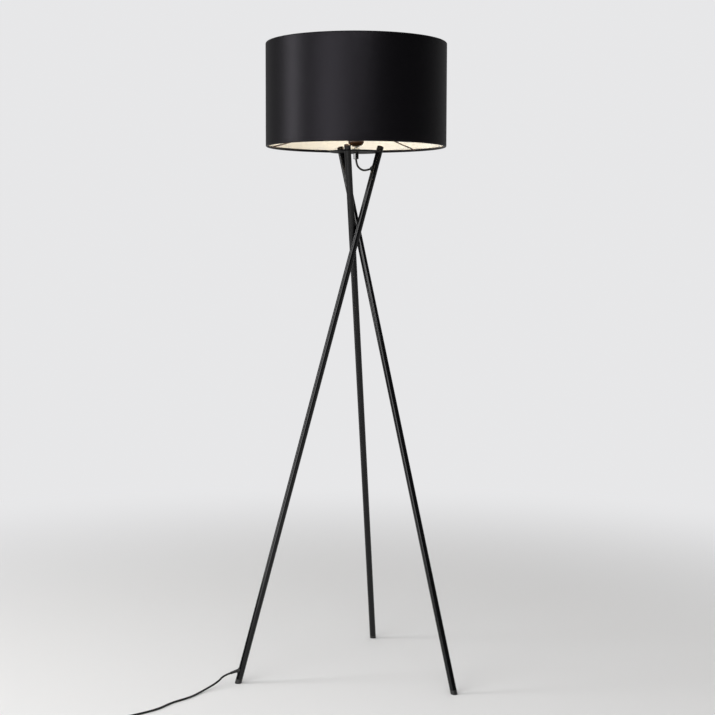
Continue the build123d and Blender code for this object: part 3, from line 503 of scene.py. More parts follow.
def turned(outline, steps, closed=True):
    """Turns an outline all the way round."""
    form = bmesh.new()
    points = outline_verts(form, outline)
    edges = [form.edges.new(pair) for pair in zip(points, points[1:])]
    if closed:
        edges.append(form.edges.new((points[-1], points[0])))
    spin(form, points + edges, math.tau, steps, merge=True)
    return form


def swept_face(outline, angle, steps, rise=0.0):
    """Turns a filled outline part of the way or more than once round, closed at both ends."""
    form = bmesh.new()
    face = form.faces.new(outline_verts(form, outline))
    spin(form, [face] + form.edges[:] + form.verts[:], angle, steps, rise)
    return form


def arc(centre, radius, start, end, steps):
    """Points of an arc in an outline, between two angles in degrees."""
    turns = [math.radians(start + (end - start) * i / steps) for i in range(steps + 1)]
    return [(centre[0] + radius * math.cos(turn), centre[1] + radius * math.sin(turn)) for turn in turns]


print("bodies and slots known for", len(body_of_node), "solids")

# %% [markdown]
# ## The free cord
#
# The lead leaves the left tube through a rubber bush, drops to the floor in one loose curve and runs out of
# the picture on the left. The picture doesn't show where it ends. Such lamps have about 1.8 m of cord with a
# foot switch, so the rest lies just outside the view: the switch, a small tied coil and the plug.
#
# A cord could be a tube swept along straight runs and bends, but that looks like bent wire. A NURBS curve of
# order 3 takes the same points as its control points and gives one smooth line between them. The order and
# the fixed ends are set after the points, because a new spline ignores them. The coil's turns are worked
# out by a loop: three turns inwards on the floor, a climb, and three turns outwards on top.

# %% Cord route
CORD_D = 5.0
CORD_EXIT = (-308.92, -116.73, 27.16)
FLAT_RUN = [(-375, -191), (-398, -235), (-436, -272), (-460, -320), (-506, -361), (-541, -384)]
TO_SWITCH = [
    CORD_EXIT,
    (-327.24, -123.04, 22.18),
    (-337, -147, 14),
    *[(x, y, CORD_D / 2) for x, y in FLAT_RUN],
    (-548, -409, 8),
    (-548, -423, 8),
]
THROUGH_SWITCH = [(-548, -445, 8), (-548, -470, 8), (-548, -495, 8)]
TO_COIL = [(-548, -517, 8), (-548, -531, 8), (-538, -550, 4.5), (-518, -558, 2.5), (-486, -550.9, 3.6)]
TO_PLUG = [(-448, -550.8, 9.2), (-433, -552, 4.5), (-414, -553, 2.5)]
TO_PLUG += [(-397, -550.5, 6.85), (-384, -550.5, 6.85)]
COIL_CENTRE = (-465.0, -512.0)
COIL_MIDDLE_RADIUS = 30.0
COIL_PITCH = 5.6
COIL_LAYER = 5.6
COIL_TURNS = 6
COIL_LOW = 3.6
POINTS_PER_TURN = 24


def coil_point(turns):
    """Control point of the coil after so many turns, just outside the line that the cord follows."""
    half = COIL_TURNS / 2
    angle = math.radians(-90) + math.tau * turns
    radius = COIL_MIDDLE_RADIUS + COIL_PITCH * half / 2 - COIL_PITCH * (half - abs(turns - half))
    radius /= math.cos(math.pi / POINTS_PER_TURN)
    climb = min(1.0, max(0.0, 2 * (turns - half) + 0.5))
    height = COIL_LOW + COIL_LAYER * (1 - math.cos(math.pi * climb)) / 2
    return COIL_CENTRE[0] + radius * math.cos(angle), COIL_CENTRE[1] + radius * math.sin(angle), height


coil_points = [coil_point(i / POINTS_PER_TURN) for i in range(COIL_TURNS * POINTS_PER_TURN + 1)]
route = [at(*point) for point in TO_SWITCH + THROUGH_SWITCH + TO_COIL + coil_points + TO_PLUG]
print("points on the cord's route:", len(route))

# %% [markdown]
# A curve object becomes a round tube when it is given a bevel depth, which is half of the cord's thickness.
# Eight sides are enough for 5 mm, because the shading is smooth. The rubber skin is a little dull, so the
# cord shows as a soft dark line on the floor with hardly any shine.


# %% Cord
TUBE_SIDES = 8
STEPS_PER_POINT = 6


def smooth_tube(name, points, diameter):
    """A round tube on one smooth NURBS line."""
    data = bpy.data.curves.new(name, "CURVE")
    data.dimensions = "3D"
    spline = data.splines.new("NURBS")
    spline.points.add(len(points) - 1)
    for point, place in zip(spline.points, points):
        point.co = (*place, 1)
    spline.order_u = 3
    spline.use_endpoint_u = True
    spline.resolution_u = STEPS_PER_POINT
    data.bevel_depth = diameter / 2
    data.bevel_resolution = TUBE_SIDES // 2
    data.use_fill_caps = True
    return bpy.data.objects.new(name, data)


CORD_NODES = ["cord_to_switch", "cord_to_coil", "cord_coil", "cord_to_plug"]
cord = finish_object(smooth_tube("free_cord", route, CORD_D * MM), cord_rubber, CORD_NODES)
print("cord made for", CORD_NODES)

# %% [markdown]
# ## The lead through the lamp
#
# A short loop of the same lead hangs below the plate: out of the cord grip, round, and into the left tube
# through the upper bush. It then runs down inside the tube to the lower bush. The loop's own plane stands
# upright through the lamp's axis and the port, so its points are given as a distance along that plane and a
# height.

# %% Lead inside
NUDGE = 1.0
BEND_NEAR = 14
BEND_FAR = 60
UPPER_PORT = Vector((47.71, 6.07, 1283.0))
LOWER_PORT = Vector((-281.88, -107.42, 34.5))
loop_way = Vector((UPPER_PORT.x, UPPER_PORT.y, 0)).normalized()
LOOP = [(0, 1342), (0, 1318), (0, 1298), (4, 1283), (17.5, 1273.5), (32, 1276.5), (44, 1281.5)]
tube_way = (LOWER_PORT - UPPER_PORT).normalized()
exit_way = (Vector(CORD_EXIT) - LOWER_PORT).normalized()

lead_points = [at(loop_way.x * out, loop_way.y * out, height) for out, height in LOOP]
inside = [
    UPPER_PORT + (loop_way * 1.5 + tube_way) * NUDGE,
    UPPER_PORT + tube_way * BEND_NEAR,
    UPPER_PORT + tube_way * BEND_FAR,
    LOWER_PORT - tube_way * BEND_FAR,
    LOWER_PORT - tube_way * BEND_NEAR,
    LOWER_PORT - exit_way * NUDGE,
    LOWER_PORT + exit_way * BEND_NEAR,
    Vector(CORD_EXIT),
]
lead_points += [at(*point) for point in inside]
finish_object(smooth_tube("inner_lead_loop", lead_points, CORD_D * MM), cord_rubber, ["inner_lead"])
print("lead points:", len(lead_points))

# %% [markdown]
# ## The drum shade
#
# The shade is a sheet of black cloth glued round two wire rings, with its edges folded over the wires and
# tucked behind the lining. A lamp maker cuts the cloth to the drum's length plus a lap, so one seam stands
# at the rear. The cover could be a cylinder with some thickness, but its rims are what the eye reads: the
# fold round the wire gives each rim a soft round edge, and inside the far rim it shows as a dark line.
#
# Here the middle line of the cloth's section is drawn once, from the tuck inside, round the lower wire, up
# the wall, round the upper wire and back. A helper gives that line the cloth's thickness, and the closed
# section is turned round the lamp's axis.

# %% Shade sizes
SHADE_R = 225.0
COVER_T = 0.8
LINING_T = 0.6
LINING_OUTER = 223.9
WIRE_D = 3.5
WIRE_R = 222.15
LOW_WIRE_Z = 1334.35
HIGH_WIRE_Z = 1583.65
HEM_R = 2.45
HEM_TURN = 125
HEM_STEPS = 20
WALL_STEPS = 12
DRUM_STEPS = 240
TUCK_R = 222.6
TUCK_RISE = 3.3
ARM_TURNS = [45.8, 165.8, 285.8]
ARM_D = 3.2
FITTER_R = 31.0
FITTER_Z = 1380.35


def section_of(line, thickness):
    """Closed outline of a sheet whose middle line is given."""
    sides = ([], [])
    for i, (r, z) in enumerate(line):
        before, after = line[max(i - 1, 0)], line[min(i + 1, len(line) - 1)]
        way = Vector((after[0] - before[0], after[1] - before[1])).normalized() * thickness / 2
        sides[0].append((r - way.y, z + way.x))
        sides[1].append((r + way.y, z - way.x))
    return sides[0] + sides[1][::-1]


def cover_line():
    """Middle line of the cover: tuck, fold, wall, fold, tuck."""
    low = [(TUCK_R, LOW_WIRE_Z + TUCK_RISE)] + arc((WIRE_R, LOW_WIRE_Z), HEM_R, HEM_TURN, 360, HEM_STEPS)
    step = (HIGH_WIRE_Z - LOW_WIRE_Z) / WALL_STEPS
    wall = [(WIRE_R + HEM_R, LOW_WIRE_Z + step * i) for i in range(1, WALL_STEPS)]
    high = arc((WIRE_R, HIGH_WIRE_Z), HEM_R, 0, 360 - HEM_TURN, HEM_STEPS)
    return low + wall + high + [(TUCK_R, HIGH_WIRE_Z - TUCK_RISE)]


def lay_uvs(data, radius):
    """Unrolls a drum: U runs round it and V up it, both in metres, so that a weave keeps its size."""
    layer = data.uv_layers.new(name="unrolled")
    for polygon in data.polygons:
        places = [data.vertices[data.loops[index].vertex_index].co - AXIS for index in polygon.loop_indices]
        turns = [math.atan2(place.y, place.x) for place in places]
        for index, place, turn in zip(polygon.loop_indices, places, turns):
            if max(turns) - turn > math.pi:
                turn += math.tau
            layer.data[index].uv = (turn * radius * MM, place.z)


# %% [markdown]
# The cloth is a fine satin weave. Its threads are far thinner than a pixel of the picture, but they make
# the sheen broad and slightly uneven. Two wave patterns on the unrolled drum give the threads, about half a
# millimetre apart, with thicker threads here and there from a stretched noise. A broad, very low swelling
# stands for the places where the cloth isn't stuck down quite evenly.


# %% Shade cloth
SLUB_STRETCH = (90, 1600, 1)
SWELLING = 0.0004
SWELLING_SCALE = 14


def woven(name, colour, second, roughness, thread, height, gloss, tint=(1, 1, 1)):
    """Cloth on unrolled UVs, with threads a given distance apart in metres."""
    material = plain(name, colour, roughness, Specular_IOR_Level=gloss, Specular_Tint=(*tint, 1))
    tree = material.node_tree
    shader = tree.nodes["Principled BSDF"]
    unrolled = add(tree, "ShaderNodeTexCoord")
    split = add(tree, "ShaderNodeSeparateXYZ")
    join(tree, unrolled, "UV", split, "Vector")
    threads = []
    for axis in ("X", "Y"):
        turn = add(tree, "ShaderNodeMath", {1: math.tau / (2 * thread)}, operation="MULTIPLY")
        join(tree, split, axis, turn, 0)
        wave = add(tree, "ShaderNodeMath", operation="SINE")
        join(tree, turn, "Value", wave, 0)
        rounded = add(tree, "ShaderNodeMath", operation="ABSOLUTE")
        join(tree, wave, "Value", rounded, 0)
        threads.append(rounded)
    over = combine(tree, "MULTIPLY", (threads[0], "Value"), (threads[1], "Value"))
    stretch = add(tree, "ShaderNodeMapping", {"Scale": SLUB_STRETCH})
    join(tree, unrolled, "UV", stretch, "Vector")
    slubs = add(tree, "ShaderNodeTexNoise", {"Scale": 1.0, "Detail": GRAIN_DETAIL})
    join(tree, stretch, "Vector", slubs, "Vector")
    relief = combine(tree, "ADD", (over, "Value"), (slubs, "Fac"))
    fine = add(tree, "ShaderNodeBump", {"Strength": 1.0, "Distance": height})
    join(tree, relief, "Value", fine, "Height")
    broad = add(tree, "ShaderNodeBump", {"Strength": 1.0, "Distance": SWELLING})
    join(tree, noise(tree, SWELLING_SCALE, 1.0), "Fac", broad, "Height")
    join(tree, broad, "Normal", fine, "Normal")
    join(tree, fine, "Normal", shader, "Normal")
    ramp = add(tree, "ShaderNodeValToRGB")
    ramp.color_ramp.elements[0].color = (*colour, 1)
    ramp.color_ramp.elements[1].color = (*second, 1)
    join(tree, slubs, "Fac", ramp, "Fac")
    join(tree, ramp, "Color", shader, "Base Color")
    return material


BLACKS = ((0.0012, 0.0011, 0.0013), (0.0024, 0.0022, 0.0027))
WHITES = ((0.88, 0.86, 0.8), (0.84, 0.82, 0.76))
SHEEN = (0.92, 0.86, 1.0)
shade_cloth = woven(
    "shade_black_cloth", *BLACKS, roughness=0.4, thread=0.0005, height=0.00002, gloss=0.155, tint=SHEEN
)
lining_film = woven(
    "shade_white_lining", *WHITES, roughness=0.55, thread=0.0006, height=0.00002, gloss=0.5
)
print("cloths:", shade_cloth.name, lining_film.name)


# %% [markdown]
# Each arm of the wire frame comes in from the lower ring, so the folded hem has three small slots there. The
# slots are cut with a boolean, because three little blocks say it more plainly than many edited faces.


# %% Cover
SLOT_DEEP = 10
SLOT_HIGH = 12
SLOT_WIDE = ARM_D + 0.6


def slot_cutters():
    """Three small blocks where the arms pass through the hem."""
    middle = Vector((WIRE_R - SLOT_DEEP / 2, 0, LOW_WIRE_Z + (SLOT_HIGH - SLOT_WIDE) / 2)) * MM
    cutter = bmesh.new()
    for turn in ARM_TURNS:
        block = bmesh.ops.create_cube(cutter, size=MM)["verts"]
        to_arm = Matrix.Rotation(math.radians(turn), 3, "Z")
        bmesh.ops.scale(cutter, vec=(SLOT_DEEP, SLOT_WIDE, SLOT_HIGH), verts=block)
        bmesh.ops.translate(cutter, vec=middle, verts=block)
        bmesh.ops.rotate(cutter, cent=(0, 0, 0), matrix=to_arm, verts=block)
    cutter.transform(ON_AXIS)
    return link(bpy.data.objects.new("slot_cutters", mesh_of("slot_cutters", cutter)))


def cut(piece, cutter):
    """Cuts one object out of another and keeps the result as a plain mesh."""
    difference = piece.modifiers.new("slots", "BOOLEAN")
    difference.operation = "DIFFERENCE"
    difference.solver = "EXACT"
    difference.object = cutter
    graph = bpy.context.evaluated_depsgraph_get()
    result = bpy.data.meshes.new_from_object(piece.evaluated_get(graph))
    piece.modifiers.clear()
    piece.data = result
    bpy.data.objects.remove(cutter)
    return piece


cover_form = turned(section_of(cover_line(), COVER_T), DRUM_STEPS)
cover = finish_mesh("shade_cover_cloth", cover_form, shade_cloth, ["shade_cover"])
cut(cover, slot_cutters())
lay_uvs(cover.data, SHADE_R)
print("cover faces:", len(cover.data.polygons))

# %% [markdown]
# Where the sheet's two ends overlap, the cloth is double. The seam could be a step in the cover's own
# section, but then the whole drum would stop being round. So it is a strip of the same cloth, 10 mm wide,
# turned a few degrees round the rear.

# %% Seam
SEAM_TURN = 10.0 / SHADE_R
SEAM_STEPS = 6
half_seam = [(-0.2, 0.4), (0.35, 0.6), (0.45, 1.4)]
seam_profile = [(SHADE_R + out, LOW_WIRE_Z + up) for out, up in half_seam]
seam_profile += [(SHADE_R + out, HIGH_WIRE_Z - up) for out, up in reversed(half_seam)]
seam_form = swept_face(seam_profile, SEAM_TURN, SEAM_STEPS)
to_rear = Matrix.Rotation(math.radians(90) - SEAM_TURN / 2, 4, "Z")
seam = finish_mesh("shade_cover_seam", seam_form, shade_cloth, ["shade_cover"], ON_AXIS @ to_rear, hide=False)
round_edges(seam, 0.2)
lay_uvs(seam.data, SHADE_R)
print("seam faces:", len(seam.data.polygons))

# %% [markdown]
# The lining is a white film that throws the bulb's light up and down. A maker glues it to the cloth before
# the drum is rolled. It could be the cover's inner face with a second finish, but the film has an edge of
# its own: it ends just inside the two wires, and the black tuck shows beyond it.

# %% Lining
LINING_STEPS = 10
film_low = LOW_WIRE_Z + WIRE_D / 2 + 0.3
film_high = HIGH_WIRE_Z - WIRE_D / 2 - 0.3
film_step = (film_high - film_low) / LINING_STEPS
film_line = [(LINING_OUTER - LINING_T / 2, film_low + film_step * i) for i in range(LINING_STEPS + 1)]
lining_form = turned(section_of(film_line, LINING_T), DRUM_STEPS)
lining = finish_mesh("shade_lining_film", lining_form, lining_film, ["shade_lining"])
lay_uvs(lining.data, SHADE_R)
print("lining faces:", len(lining.data.polygons))

# %% [markdown]
# ## The two wire rings and the arms
#
# The rings that hold the drum's shape are 3.5 mm steel wire, butt welded and painted. Three thinner rods rise
# inwards from the lower ring to the fitter ring, which sits on the lampholder. Each rod ends in a small
# bead of weld. The rings are a small circle turned round the axis, and each rod is a tube along its own
# line.


# %% Wires
RING_STEPS = 180
OUTER_BEAD_R = 1.95
INNER_BEAD_R = 1.9


def circle_outline(centre, radius, sides=16):
    """Outline of a round wire in a turned section."""
    return arc(centre, radius, 0, 360 - 360 / sides, sides - 1)


def add_rod(form, start, end, radius):
    """Adds a straight round rod to a form, between two points in millimetres."""
    way = end - start
    along = way.to_track_quat("Z", "Y").to_matrix().to_4x4()
    place = Matrix.Translation((start + way / 2) * MM) @ along
    size = {"radius1": radius * MM, "radius2": radius * MM, "depth": way.length * MM}
    bmesh.ops.create_cone(form, cap_ends=True, segments=14, matrix=place, **size)


def add_bead(form, centre, radius):
    """Adds a bead of weld to a form."""
    place = Matrix.Translation(centre * MM) @ Matrix.Scale(radius * MM, 4)
    bmesh.ops.create_uvsphere(form, u_segments=16, v_segments=10, radius=1, matrix=place)


spider_form = turned(circle_outline((WIRE_R, LOW_WIRE_Z), WIRE_D / 2), RING_STEPS)
for turn in ARM_TURNS:
    out = Vector((math.cos(math.radians(turn)), math.sin(math.radians(turn)), 0))
    outer = out * WIRE_R + Vector((0, 0, LOW_WIRE_Z))
    inner = out * (FITTER_R + 0.3) + Vector((0, 0, FITTER_Z))
    inwards = (inner - outer).normalized()
    add_rod(spider_form, outer, inner, ARM_D / 2)
    add_bead(spider_form, outer + inwards * 2.0, OUTER_BEAD_R)
    add_bead(spider_form, inner - inwards * 0.6, INNER_BEAD_R)
spider = finish_mesh("shade_spider_wires", spider_form, wire_coat_painted_warm_light, ["spider"])

top_form = turned(circle_outline((WIRE_R, HIGH_WIRE_Z), WIRE_D / 2), RING_STEPS)
finish_mesh("shade_top_wire", top_form, wire_coat_painted_warm_light, ["top_ring"])
print("spider faces:", len(spider.data.polygons))

# %% [markdown]
# ## The bulb
#
# The picture shows the lamp lit, with the bulb hidden behind the shade. An opal bulb with a 60 mm head fits
# such a holder. Its glass glows evenly, so an emission on its shader is both right and cheap: it lights the
# lining, the wires and the tops of the tubes, as the real one does.

# %% Glass
BULB_Z = 1365.3
GLASS_R = 30.0
GLASS_T = 0.9
HEAD_Z = BULB_Z + 107 - GLASS_R
NECK_R = 12.6
NECK_Z = BULB_Z + 30.2
GLASS_FOOT_Z = BULB_Z + 20.2
BULB_GLOW = 17.0
BULB_COLOUR = (1.0, 0.83, 0.58)


def glass_line():
    """Middle line of the glass: neck, flank that curves in below the head, round head."""
    down = Vector((-NECK_R, HEAD_Z - NECK_Z))
    turn = math.atan2(-down.y, -down.x) + math.acos(GLASS_R / down.length)
    head = arc((0, HEAD_Z), GLASS_R - GLASS_T / 2, math.degrees(turn), 90, 36)
    neck = [(NECK_R - GLASS_T / 2, GLASS_FOOT_Z), (NECK_R - GLASS_T / 2, NECK_Z - 4)]
    ease = [(NECK_R - GLASS_T / 2 + 0.1, NECK_Z - 1.5), (NECK_R + 0.15, NECK_Z + 1.5)]
    return neck + ease + head[:-1] + [(0.0, head[-1][1])]


glass_form = turned(glass_line(), 72, closed=False)
opal = plain(
    "bulb_opal_glass",
    (0.9, 0.88, 0.84),
    0.35,
    Emission_Color=(*BULB_COLOUR, 1),
    Emission_Strength=BULB_GLOW,
)
vary_roughness(opal, 40, 0.3, 0.42)
glass = finish_mesh("bulb_opal_shell", glass_form, opal, ["bulb_glass"], smooth=60)
wall = glass.modifiers.new("wall", "SOLIDIFY")
wall.thickness = GLASS_T * MM
wall.offset = 0
wall.use_even_offset = True
print("glass faces:", len(glass.data.polygons))

# %% [markdown]
# The cap is thin aluminium with a rolled screw thread of 27 mm, about seven threads to the inch. A thread
# isn't a stack of rings. It is one ridge that climbs as it turns, so the section of the cap is spun with a
# rise: each step goes round a little and up a little. The black glass insulator and the tip close its foot.


# %% Screw thread
def add_thread(form, radius, depth, pitch, low, turns, steps=36, z_steps=6):
    """Adds a climbing ridge with a rounded crest, closed at both ends."""
    crest = [
        (radius - depth / 2 + depth / 2 * math.cos(math.tau * (i / z_steps - 0.5)), low + pitch * i / z_steps)
        for i in range(z_steps + 1)
    ]
    back = [(radius - depth - 0.15, crest[-1][1]), (radius - depth - 0.15, crest[0][1])]
    corners = outline_verts(form, crest + back)
    edges = [form.edges.new(pair) for pair in zip(corners, corners[1:] + corners[:1])]
    made = spin(form, corners + edges, math.tau * turns, round(turns * steps), pitch / steps)
    form.faces.new(corners[::-1])
    bmesh.ops.contextual_create(form, geom=verts_in(made["geom_last"]))


cap_low = BULB_Z + 4.2
cap_outline = [(12.0, 22), (12.9, 22), (13.1, 21.4), (13.1, 19.6), (12.3, 18.8)]
cap_outline += [(12.3, 1.8), (12.0, 0.7), (11.4, 0), (11.0, 0.3), (11.6, 1.2)]
cap_form = turned([(r, cap_low + up) for r, up in cap_outline], 72)
add_thread(cap_form, radius=13.15, depth=0.85, pitch=3.6, low=cap_low + 1.6, turns=3.9)
cap = finish_mesh("bulb_screw_cap", cap_form, aluminium, ["bulb_cap"], smooth=50)

insulator_form = turned(
    [(0.01, BULB_Z + 1.4), (4.4, BULB_Z + 1.4), (4.9, BULB_Z + 1.8), (11.2, cap_low - 0.5), (12.2, cap_low)]
    + [(0.01, cap_low)],
    64,
)
finish_mesh("bulb_glass_foot", insulator_form, black_glass, ["bulb_insulator"])
tip_form = turned(
    [(0.01, BULB_Z + 0.05), (1.6, BULB_Z)] + arc((3.6, BULB_Z + 0.9), 0.9, 270, 360, 6)
    + [(4.5, BULB_Z + 1.4), (0.01, BULB_Z + 1.4)],
    48,
)
finish_mesh("bulb_solder_tip", tip_form, zinc, ["bulb_tip"])
print("cap faces:", len(cap.data.polygons))

# %% [markdown]
# ## The lampholder and what carries it
#
# The lampholder has a round dome below and a sleeve above, both moulded plastic, whose brown base colour is
# painted warm light from the bulb. The sleeve has a coarse thread on the outside for the two clamping rings.
# It stands on a threaded tube of zinc-plated steel, which a washer and a nut hold in the plate. In the
# picture the thread and the nut are the one bright line below the dark lampholder.

# %% Lampholder
HOLDER_Z = 1333.0
HOLDER_R = 19.7
HOLDER_TOP = 1391.0
SKIRT_Z = 1356.0

dome_outline = (
    [(5.1, HOLDER_Z), (8.1, HOLDER_Z), (8.5, HOLDER_Z + 0.4), (8.5, HOLDER_Z + 1.7), (8.8, HOLDER_Z + 2.0)]
    + arc((8.5, HOLDER_Z + 13.2), 11.2, 278, 360, 18)
    + [(HOLDER_R, SKIRT_Z - 0.5), (HOLDER_R - 0.35, SKIRT_Z), (17.7, SKIRT_Z)]
    + [(17.7, HOLDER_Z + 15.2)]
    + arc((7.5, HOLDER_Z + 15.2), 10.2, 0, -90, 12)
    + [(5.1, HOLDER_Z + 5)]
)
dome = finish_mesh("lampholder_dome", turned(dome_outline, 96), holder_plastic_painted_warm_light, ["holder_dome"])

skirt_low = [(2.0, 0), (0.35, 0), (0.05, 0.3), (0.05, 3.0), (0.6, 3.5)]
skirt_high = [(0.6, 2.6), (0.1, 2.2), (0.1, 0.8), (0.8, 0), (5.6, 0), (5.9, 0.4), (5.9, 2.5), (2.0, 2.5)]
skirt_outline = [(HOLDER_R - inwards, SKIRT_Z + up) for inwards, up in skirt_low]
skirt_outline += [(HOLDER_R - inwards, HOLDER_TOP - down) for inwards, down in skirt_high]
skirt_form = turned(skirt_outline, 96)
add_thread(skirt_form, radius=HOLDER_R, depth=0.6, pitch=3.0, low=SKIRT_Z + 3.6, turns=8.4, steps=48)
skirt = finish_mesh("lampholder_sleeve", skirt_form, holder_plastic_painted_warm_light, ["holder_skirt"])
print("lampholder faces:", len(dome.data.polygons) + len(skirt.data.polygons))

# %% [markdown]
# The threaded tube is a 10 mm pipe with a fine thread all along. Its ridge is made as the bulb's was, only
# finer: a millimetre of climb for each turn. A dark line between bright crests is what tells the eye that
# this is a thread and not a plain rod.

# %% Threaded tube
NIPPLE_LOW = 1310.0
NIPPLE_HIGH = 1338.0
nipple_form = turned(
    [(3.8, NIPPLE_LOW), (4.2, NIPPLE_LOW), (4.5, NIPPLE_LOW + 0.5), (4.5, NIPPLE_HIGH - 0.5)]
    + [(4.2, NIPPLE_HIGH), (3.8, NIPPLE_HIGH)],
    48,
)
add_thread(
    nipple_form, radius=5.0, depth=0.55, pitch=1.0, low=NIPPLE_LOW + 0.5, turns=26, steps=32, z_steps=4
)
nipple = finish_mesh("threaded_tube", nipple_form, zinc, ["nipple"], smooth=50)
print("threaded tube faces:", len(nipple.data.polygons))

# %% [markdown]
# ## Solids that keep their shape
#
# Many small solids already have the right form and only lack what a tool leaves: a broken edge that catches
# the light. For these, the solid's mesh is copied, its doubled points are merged, its flat facets are joined
# into whole faces, and a narrow bevel rounds every sharp edge. The copy then stands for the solid.


# %% Softened copies
FLAT_ANGLE = math.radians(1.0)
SHARP_DEGREES = 35


def softened(node, name, material, width):
    """A copy of a solid with rounded edges, which stands for it."""
    form = bmesh.new()
    form.from_mesh(frame["nodes"][node].data)
    bmesh.ops.remove_doubles(form, verts=form.verts, dist=2e-6)
    bmesh.ops.dissolve_limit(
        form, angle_limit=FLAT_ANGLE, verts=form.verts, edges=form.edges, delimit={"NORMAL"}
    )
    piece = finish_object(smooth_object(name, form, SHARP_DEGREES), material, [node])
    return round_edges(piece, width)


SOFTENED = {
    "top_plate": ("crossing_plate", plate_paint, 0.25),
    "plate_washer": ("plate_washer_ring", zinc, 0.15),
    "plate_nut": ("plate_hex_nut", zinc, 0.2),
    "cord_grip": ("cord_grip_body", grip_plastic, 0.35),
    "grip_screw": ("cord_grip_screw", zinc, 0.15),
    "shade_ring_lower": ("clamping_ring_lower", holder_plastic_painted_warm_light, 0.4),
    "shade_ring_upper": ("clamping_ring_upper", holder_plastic_painted_warm_light, 0.4),
    "fitter_ring": ("shade_fitter_ring", wire_coat_painted_warm_light, 0.3),
    "leg_caps": ("tube_end_caps", cap_plastic_painted_warm_light, 0.4),
    "foot_left": ("foot_left_plug", foot_plastic, 0.3),
    "foot_right": ("foot_right_plug", foot_plastic, 0.3),
    "foot_rear": ("foot_rear_plug", foot_plastic, 0.3),
    "upper_port_bush": ("upper_bush", bush_rubber, 0.2),
    "lower_port_bush": ("lower_bush", bush_rubber, 0.2),
    "switch_base": ("switch_lower_shell", switch_plastic, 0.4),
    "switch_cover": ("switch_upper_shell", switch_plastic, 0.4),
    "switch_button": ("switch_press_button", switch_plastic, 0.5),
    "switch_reliefs": ("switch_cord_sleeves", bush_rubber, 0.2),
    "switch_feet": ("switch_rubber_feet", bush_rubber, 0.2),
    "switch_screws": ("switch_case_screws", zinc, 0.1),
    "plug_pins": ("mains_plug_pins", nickel, 0.1),
    "coil_tie": ("coil_strap_band", strap_plastic, 0.25),
}
soft_pieces = {node: softened(node, *values) for node, values in SOFTENED.items()}
print("softened copies:", len(soft_pieces))

# %% [markdown]
# ## The spring under the button
#
# The button of the foot switch stands on a small coil spring. It is a circle of wire that is spun round and
# lifted at each step, like the screw threads. When the button goes down by 3 mm, the spring has to get
# shorter and not pass through it.


# %% Button spring
SPRING_WIRE_R = 0.45
SPRING_R = 4.55
SPRING_TURNS = 4
SPRING_STEPS = 24
SPRING_SIDES = 10
SWITCH_CENTRE = (-548, -470)

spring_low, spring_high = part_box("switch_spring")
spring_height = (spring_high.z - spring_low.z) / MM
coil_rise = (spring_height - 2 * SPRING_WIRE_R) / SPRING_TURNS
spring_foot = at(*SWITCH_CENTRE, spring_low.z / MM)
wire_outline = circle_outline((SPRING_R, SPRING_WIRE_R), SPRING_WIRE_R, SPRING_SIDES)
spring_form = swept_face(
    wire_outline, math.tau * SPRING_TURNS, SPRING_TURNS * SPRING_STEPS, coil_rise / SPRING_STEPS
)
spring_place = Matrix.Translation(spring_foot)
button_spring = finish_mesh(
    "switch_coil_spring", spring_form, spring_steel, ["switch_spring"], spring_place, smooth=60
)
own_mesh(button_spring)
print("spring height in mm:", round(spring_height, 2))

# %% [markdown]
# ## The mains plug
#
# A flat plug is moulded in one piece round its pins. Its body is six-sided, so that two fingers hold it, and
# it narrows to the sleeve that keeps the cord from kinking. One six-sided face is extruded forwards, and
# backwards with the new end made smaller. One wide bevel then rounds all the edges, as a mould does.


# %% Plug body
PLUG_AT = (-360, -550.5, 6.85)
PLUG_HALF_W = 17.5
PLUG_HALF_T = 6.85
PLUG_NECK = 10.5
SHOULDER_LEN = 16.0
STRAIGHT_LEN = 20.0
PLUG_EDGE = 1.5
PLUG_EDGE_SEGMENTS = 4

plug_form = bmesh.new()
flank = PLUG_HALF_W - 2 * PLUG_HALF_T / 3
outline = [(-PLUG_HALF_W, 0), (-flank, -PLUG_HALF_T), (flank, -PLUG_HALF_T)]
outline += [(PLUG_HALF_W, 0), (flank, PLUG_HALF_T), (-flank, PLUG_HALF_T)]
shoulder = [plug_form.verts.new(Vector((x, y, SHOULDER_LEN)) * MM) for x, y in outline]
front_face = plug_form.faces.new(shoulder)
rear_verts = verts_in(bmesh.ops.extrude_face_region(plug_form, geom=[front_face])["geom"])
bmesh.ops.translate(plug_form, vec=(0, 0, STRAIGHT_LEN * MM), verts=rear_verts)
front_verts = [vert for vert in plug_form.verts if vert not in rear_verts]
front_edges = [edge for edge in plug_form.edges if all(vert in front_verts for vert in edge.verts)]
narrow_verts = verts_in(bmesh.ops.extrude_edge_only(plug_form, edges=front_edges)["geom"])
bmesh.ops.translate(plug_form, vec=(0, 0, -SHOULDER_LEN * MM), verts=narrow_verts)
neck_scale = (PLUG_NECK / 2 / PLUG_HALF_W, PLUG_NECK / 2 / PLUG_HALF_T, 1)
bmesh.ops.scale(plug_form, vec=neck_scale, verts=narrow_verts)
inner_faces = [face for face in plug_form.faces if all(vert in front_verts for vert in face.verts)]
bmesh.ops.delete(plug_form, geom=inner_faces, context="FACES_ONLY")
bmesh.ops.contextual_create(plug_form, geom=narrow_verts)
rounding = {"offset": PLUG_EDGE * MM, "segments": PLUG_EDGE_SEGMENTS, "profile": 0.5}
bmesh.ops.bevel(plug_form, geom=plug_form.edges[:], affect="EDGES", material=-1, **rounding)
LYING = Matrix(((0, 0, 1, 0), (1, 0, 0, 0), (0, 1, 0, 0), (0, 0, 0, 1)))
plug_place = Matrix.Translation(at(*PLUG_AT)) @ LYING
plug_body = finish_mesh("mains_plug_body", plug_form, mains_plug_rubber, ["plug_body"], plug_place, smooth=40)
